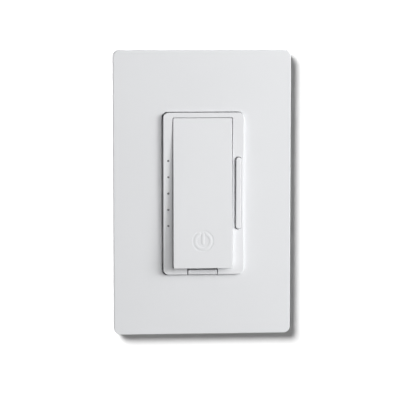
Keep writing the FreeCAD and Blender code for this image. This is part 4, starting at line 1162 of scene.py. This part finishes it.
@dataclass
class RearHousing:
    """The black housing in the wall box: the node's own shell with the recesses and ribs of a real moulding.

    The panel and the gauge are recesses, given by their width, height and corner radius. What cuts or stands on
    a side wall has its middle out of that wall by its out value.
    """

    width: float = 44.0
    height: float = 70.0
    back: float = -33.0
    back_round: float = 0.9
    tool_out: float = 1.0
    panel: tuple[float, float, float] = (27.0, 40.0, 1.6)
    panel_up: float = 4.0
    panel_depth: float = 0.4
    gauge: tuple[float, float, float] = (17.0, 1.8, 0.85)
    gauge_up: float = -24.5
    gauge_depth: float = 0.9
    pin_marks: tuple[float, float] = (17.0, 30.0)
    pin_radius: float = 2.1
    pin_depth: float = 0.18
    flute_count: int = 9
    flute_pitch: float = 3.6
    flute_radius: float = 1.0
    flute_length: float = 20.0
    flute_level: float = -15.0
    flute_out: float = 0.45
    groove_width: float = 0.5
    groove_margin: float = 2.5
    groove_level: float = -2.2
    groove_out: float = 0.2
    field: tuple[float, float, float] = (1.0, 14.0, 10.4)
    field_corner: float = 1.2
    field_out: float = 0.1
    terminal_up: float = 11.0
    terminal_level: float = -8.5
    rib: tuple[float, float, float] = (0.9, 1.8, 15.0)
    rib_round: float = 0.35
    rib_out: float = 0.35
    rib_level: float = -10.2

    def build(self, bench: Bench) -> None:
        """Carve the node's copy and put it on the chassis.

        Args:
            bench: Takes the piece to its place.
        """
        shell = bench.copied("rear_housing")
        shell.ease(shell.level_edges(self.back), self.back_round, steps=5)
        shell.carve(self.rear_tools())
        shell.carve(self.side_tools())
        for side in SIDES:
            rib = shell.block(self.rib, (side * (self.width / 2 + self.rib_out), 0.0, self.rib_level))
            shell.ease(edges_at(rib), self.rib_round)
        bench.place(shell, "rear_housing_moulded", "rear_housing", ["rear_housing"])

    def rear_tools(self) -> Blank:
        """Shape what is cut from the rear face: a flat panel, a wire gauge and four ejector marks.

        Returns:
            The tools.
        """
        tools = Blank()
        low = self.back - self.tool_out
        for shape, up, depth in ((self.panel, self.panel_up, self.panel_depth),
                                 (self.gauge, self.gauge_up, self.gauge_depth)):
            tools.slab(tools.rectangle(*shape, (0.0, up), low, steps=6), self.back + depth)
        across, up = self.pin_marks
        for side in SIDES:
            for end in SIDES:
                tools.rod(self.pin_radius, low, self.back + self.pin_depth, (side * across, end * up), steps=36)
        return tools

    def side_tools(self) -> Blank:
        """Shape what is cut from the walls: a parting groove, cooling flutes and the terminals' sunk fields.

        Returns:
            The tools.
        """
        tools = Blank()
        half_width, half_height = self.width / 2, self.height / 2
        groove = 2 * self.groove_margin
        for end in SIDES:
            for across in spaced(self.flute_count, self.flute_pitch):
                place = (across, end * (half_height + self.flute_out), self.flute_level)
                tools.rod(self.flute_radius, 0.0, self.flute_length, turn=Matrix.Translation(place), steps=20)
            tools.block((self.width - groove, self.tool_out, self.groove_width),
                        (0.0, end * (half_height + self.groove_out), self.groove_level))
        for side in SIDES:
            tools.block((self.tool_out, self.height - groove, self.groove_width),
                        (side * (half_width + self.groove_out), 0.0, self.groove_level))
            for end in SIDES:
                place = (side * (half_width + self.field_out), end * self.terminal_up, self.terminal_level)
                corners = [edge for edge in edges_at(tools.block(self.field, place))
                           if abs(edge.verts[0].co.x - edge.verts[1].co.x) > CLOSE]
                tools.ease(corners, self.field_corner, steps=4)
        return tools


@dataclass
class Thread:
    """A screw thread along the bench's z axis, with a ridge wound round a core."""

    crest: float
    low: float
    high: float
    pitch: float = 0.794
    depth: float = 0.4
    steps: int = 20
    crest_shares: tuple[float, float] = (0.42, 0.54)
    core_over: float = 0.02
    end_under: float = 0.05
    point_length: float = 0.7
    point_share: float = 0.72

    def cut(self, blank: Blank, centre: tuple[float, float]) -> None:
        """Add the thread's ridge and core at a place.

        Args:
            blank: The screw.
            centre: Place of the screw's axis.
        """
        root = self.crest - self.depth
        self.wind_ridge(blank.mesh, centre, root)
        shoulder = self.low + self.point_length
        blank.rod(root * self.point_share, self.low, shoulder, centre, tip=root + self.core_over)
        blank.rod(root + self.core_over, shoulder, self.high, centre)

    def wind_ridge(self, mesh: BMesh, centre: tuple[float, float], root: float) -> None:
        """Wind the ridge, sink its two ends into the core and close them.

        Args:
            mesh: The screw's mesh.
            centre: Place of the screw's axis.
            root: Radius at the ridge's foot.
        """
        known = set(mesh.verts)
        turns = max(1, math.floor((self.high - self.low) / self.pitch) - 1)
        rise, fall = self.crest_shares
        profile = ((root, 0.0), (self.crest, rise), (self.crest, fall), (root, 1.0))
        verts = [mesh.verts.new((centre[0] + radius, centre[1], self.high - self.pitch * (1.0 - share)))
                 for radius, share in profile]
        edges = [mesh.edges.new(pair) for pair in zip(verts, verts[1:])]
        made = bmesh.ops.spin(mesh, geom=verts + edges, cent=(*centre, 0.0), axis=OUT_OF_THE_WALL,
                              dvec=(0.0, 0.0, -self.pitch / self.steps), angle=2 * math.pi * turns,
                              steps=self.steps * turns)
        for vert in verts + verts_of(made["geom_last"]):
            across = Vector((vert.co.x - centre[0], vert.co.y - centre[1]))
            across *= (root - self.end_under) / across.length
            vert.co.x, vert.co.y = centre[0] + across.x, centre[1] + across.y
        bmesh.ops.remove_doubles(mesh, verts=[vert for vert in mesh.verts if vert not in known], dist=CLOSE)
        bmesh.ops.holes_fill(mesh, edges=[edge for edge in mesh.edges if edge.is_boundary], sides=0)


@dataclass
class MountingScrews:
    """The two long screws that hold the yoke to the wall box."""

    spacing: float = 83.3
    crest: float = 1.75
    tip: float = -20.0
    neck: float = -0.9
    thread_top: float = -0.6
    head_foot: float = 1.7
    head_round: float = 0.15

    def build(self, bench: Bench) -> None:
        """Keep the slotted heads of the node's own solids and cut real threads on their shanks.

        Args:
            bench: Takes the piece to its place.
        """
        blank = bench.copied("mounting_screws")
        cut = blank.split(blank.everything(), (0.0, 0.0, self.neck), OUT_OF_THE_WALL, clear_below=True)
        bmesh.ops.edgenet_fill(blank.mesh, edges=cut)
        crisp = blank.sharp(lambda middle: middle.z > self.head_foot, bench.CRISP)
        blank.ease(crisp, self.head_round, steps=2, clamp=True)
        for side in SIDES:
            Thread(self.crest, self.tip, self.thread_top).cut(blank, (0.0, side * self.spacing / 2))
        bench.place(blank, "mounting_screws_threaded", "mounting_screws", ["mounting_screws"])


@dataclass(frozen=True)
class Lamp:
    """A round soft lamp that points at the part."""

    name: str
    direction: tuple[float, float, float]
    distance: float
    size: float
    power: float

    def hang(self) -> bpy.types.Object:
        """Hang the lamp in its direction from the part.

        Returns:
            The lamp.
        """
        data = bpy.data.lights.new(self.name, "AREA")
        data.shape, data.size, data.energy = "DISK", self.size, self.power
        item = bpy.data.objects.new(self.name, data)
        bpy.context.scene.collection.objects.link(item)
        item.location = Vector(self.direction).normalized() * self.distance
        item.rotation_euler = (-item.location).to_track_quat("-Z", "Y").to_euler()
        return item


@dataclass
class Studio:
    """The wall, the floor, the lamps and the camera.

    The wall, the floor and the camera's sensor are measured in millimetres, all other lengths in metres, and
    angles in degrees.
    """

    distance: float = 0.8
    elevation: float = 5.98
    azimuth: float = -4.5
    frame_width: float = 0.16472
    aim: tuple[float, float, float] = (-0.00075, -0.00427, -0.00312)
    sensor: float = 36.0
    sight: float = 20.0
    wall_size: float = 240.0
    opening: tuple[float, float] = (71.0, 115.2)
    opening_corner: float = 3.6
    floor_size: float = 4000.0
    floor_below: float = 800.0
    floor_shade: float = 0.8
    floor_glow: float = 0.6
    surround_light: float = 0.2
    surround_seen: float = 0.8
    # Each sheet of the wall, from the rear: its name, its level on the bench and its shade of grey.
    sheets: tuple[tuple[str, float, float], ...] = (
        ("wall_rear", -0.6, 0.78),
        ("wall_backdrop", -0.12, 0.42))
    part_lamps: tuple[Lamp, ...] = (
        Lamp("key", (0.83, -0.515, 0.22), distance=0.9, size=0.4, power=5.75),
        Lamp("broad_fill", (0.6, -1.0, 0.5), distance=1.0, size=1.2, power=5.8))
    wall_lamps: tuple[Lamp, ...] = (
        Lamp("wall_lamp", (-0.6, -1.0, 0.65), distance=2.0, size=0.88, power=131.0),
        Lamp("wall_lift", (-0.6, -1.0, -0.6), distance=2.0, size=0.8, power=27.0))
    rear_lamps: tuple[Lamp, ...] = (
        Lamp("behind_left", (-0.6, 0.7, 0.5), distance=0.8, size=0.4, power=2.6),
        Lamp("behind_right", (0.7, 0.6, 0.1), distance=0.8, size=0.4, power=1.7))

    def build(self) -> None:
        """Set up the whole studio, with colours kept as they are written."""
        bpy.context.scene.view_settings.view_transform = "Standard"
        wall = self.wall()
        self.floor()
        self.surround()
        self.lamps(wall)
        self.camera()

    def paint(self, name: str, shade: float, glow: float = 0.0) -> bpy.types.Material:
        """Make a matt grey that may show a little brighter to the camera and in reflections.

        Args:
            name: Name of the material.
            shade: Its shade of grey.
            glow: What it adds for the camera and reflections.

        Returns:
            The material.
        """
        made = bpy.data.materials.new(name)
        made.use_nodes = True
        tree = made.node_tree
        tree.nodes.clear()
        diffuse, shine, strength, added, output = (
            tree.nodes.new(f"ShaderNode{kind}")
            for kind in ("BsdfDiffuse", "Emission", "Math", "AddShader", "OutputMaterial"))
        diffuse.inputs["Color"].default_value = (shade, shade, shade, 1.0)
        strength.operation = "MULTIPLY"
        strength.inputs[1].default_value = glow
        for start, end in ((self.seen(tree), strength.inputs[0]),
                           (strength.outputs["Value"], shine.inputs["Strength"]),
                           (diffuse.outputs["BSDF"], added.inputs[0]),
                           (shine.outputs["Emission"], added.inputs[1]),
                           (added.outputs["Shader"], output.inputs["Surface"])):
            tree.links.new(start, end)
        return made

    @staticmethod
    def seen(tree: bpy.types.NodeTree) -> Socket:
        """Tell rays from the camera, mirrors and clear pieces from the others.

        Args:
            tree: The node tree.

        Returns:
            A value of 1 for these rays and 0 for the others.
        """
        path = tree.nodes.new("ShaderNodeLightPath")
        total = path.outputs["Is Camera Ray"]
        for other in ("Is Glossy Ray", "Is Transmission Ray"):
            most = tree.nodes.new("ShaderNodeMath")
            most.operation = "MAXIMUM"
            tree.links.new(total, most.inputs[0])
            tree.links.new(path.outputs[other], most.inputs[1])
            total = most.outputs["Value"]
        return total

    @staticmethod
    def staged(blank: Blank, name: str, paint: bpy.types.Material) -> bpy.types.Object:
        """Make a stage object of a shaped piece.

        Args:
            blank: The shaped piece. It is used up.
            name: Name of the object.
            paint: Its material.

        Returns:
            The object.
        """
        blank.mesh.transform(BENCH)
        mesh = bpy.data.meshes.new(name)
        blank.mesh.to_mesh(mesh)
        blank.mesh.free()
        mesh.materials.append(paint)
        item = bpy.data.objects.new(name, mesh)
        bpy.context.scene.collection.objects.link(item)
        return item

    def wall(self) -> bpy.types.Object:
        """Make the wall, open behind the plate so that the rear of the part shows from behind.

        Returns:
            The sheet that faces the room.
        """
        for name, level, shade in self.sheets:
            blank = Blank()
            loops = blank.rectangle(self.wall_size, self.wall_size, level=level)
            loops += blank.rectangle(*self.opening, self.opening_corner, level=level)
            bmesh.ops.bridge_loops(blank.mesh, edges=loops)
            front = self.staged(blank, name, self.paint(f"{name}_paint", shade))
        return front

    def floor(self) -> None:
        """Make the floor, well below the part."""
        blank = Blank()
        place = Matrix.Translation((0.0, -self.floor_below, 0.0)) @ Matrix.Rotation(math.pi / 2, 4, "X")
        bmesh.ops.create_grid(blank.mesh, x_segments=1, y_segments=1, size=self.floor_size / 2, matrix=place)
        self.staged(blank, "pale_floor", self.paint("pale_floor_paint", self.floor_shade, self.floor_glow))

    def surround(self) -> None:
        """Make a white surround that lights the part softly and shows brighter than it lights."""
        world = bpy.data.worlds.new("soft_surround")
        bpy.context.scene.world = world
        world.use_nodes = True
        tree = world.node_tree
        background = tree.nodes["Background"]
        background.inputs["Color"].default_value = (1.0, 1.0, 1.0, 1.0)
        level = tree.nodes.new("ShaderNodeMapRange")
        level.inputs["To Min"].default_value = self.surround_light
        level.inputs["To Max"].default_value = self.surround_seen
        tree.links.new(self.seen(tree), level.inputs["Value"])
        tree.links.new(level.outputs["Result"], background.inputs["Strength"])

    def lamps(self, wall: bpy.types.Object) -> None:
        """Hang the lamps: a key and a broad fill that leave the wall out, two for the wall alone, two behind.

        Args:
            wall: The wall's front sheet.
        """
        only_wall = bpy.data.collections.new("lit_by_wall_lamp")
        only_wall.objects.link(wall)
        all_but_wall = bpy.data.collections.new("not_lit_by_part_lamps")
        all_but_wall.objects.link(wall)
        all_but_wall.collection_objects[0].light_linking.link_state = "EXCLUDE"
        for group, lit in ((self.part_lamps, all_but_wall), (self.wall_lamps, only_wall)):
            for lamp in group:
                lamp.hang().light_linking.receiver_collection = lit
        for lamp in self.rear_lamps:
            lamp.hang()

    def camera(self) -> None:
        """Put a long lens in front, a little above the part and left of it."""
        data = bpy.data.cameras.new("camera")
        data.sensor_width = self.sensor
        data.lens = self.sensor * self.distance / self.frame_width
        data.clip_end = self.sight
        item = bpy.data.objects.new("camera", data)
        bpy.context.scene.collection.objects.link(item)
        turn, lift = math.radians(self.azimuth), math.radians(self.elevation)
        way = Vector((math.sin(turn) * math.cos(lift), -math.cos(turn) * math.cos(lift), math.sin(lift)))
        item.location = Vector(self.aim) + way * self.distance
        item.rotation_euler = (-way).to_track_quat("-Z", "Y").to_euler()
        bpy.context.scene.camera = item


def main() -> None:
    """Build every sub-assembly in order, then the studio."""
    logging.basicConfig(level=logging.INFO, format="%(message)s")
    bench = Bench()
    for assembly in (CoverPlate(), Bezel(), Paddle(), PaddleSpring(), DimmingRocker(), AirGapTab(),
                     LightColumn(), RearHousing(), MountingScrews()):
        assembly.build(bench)
    bench.ease_rest()
    bench.dress_rest()
    Studio().build()


if __name__ == "__main__":
    main()
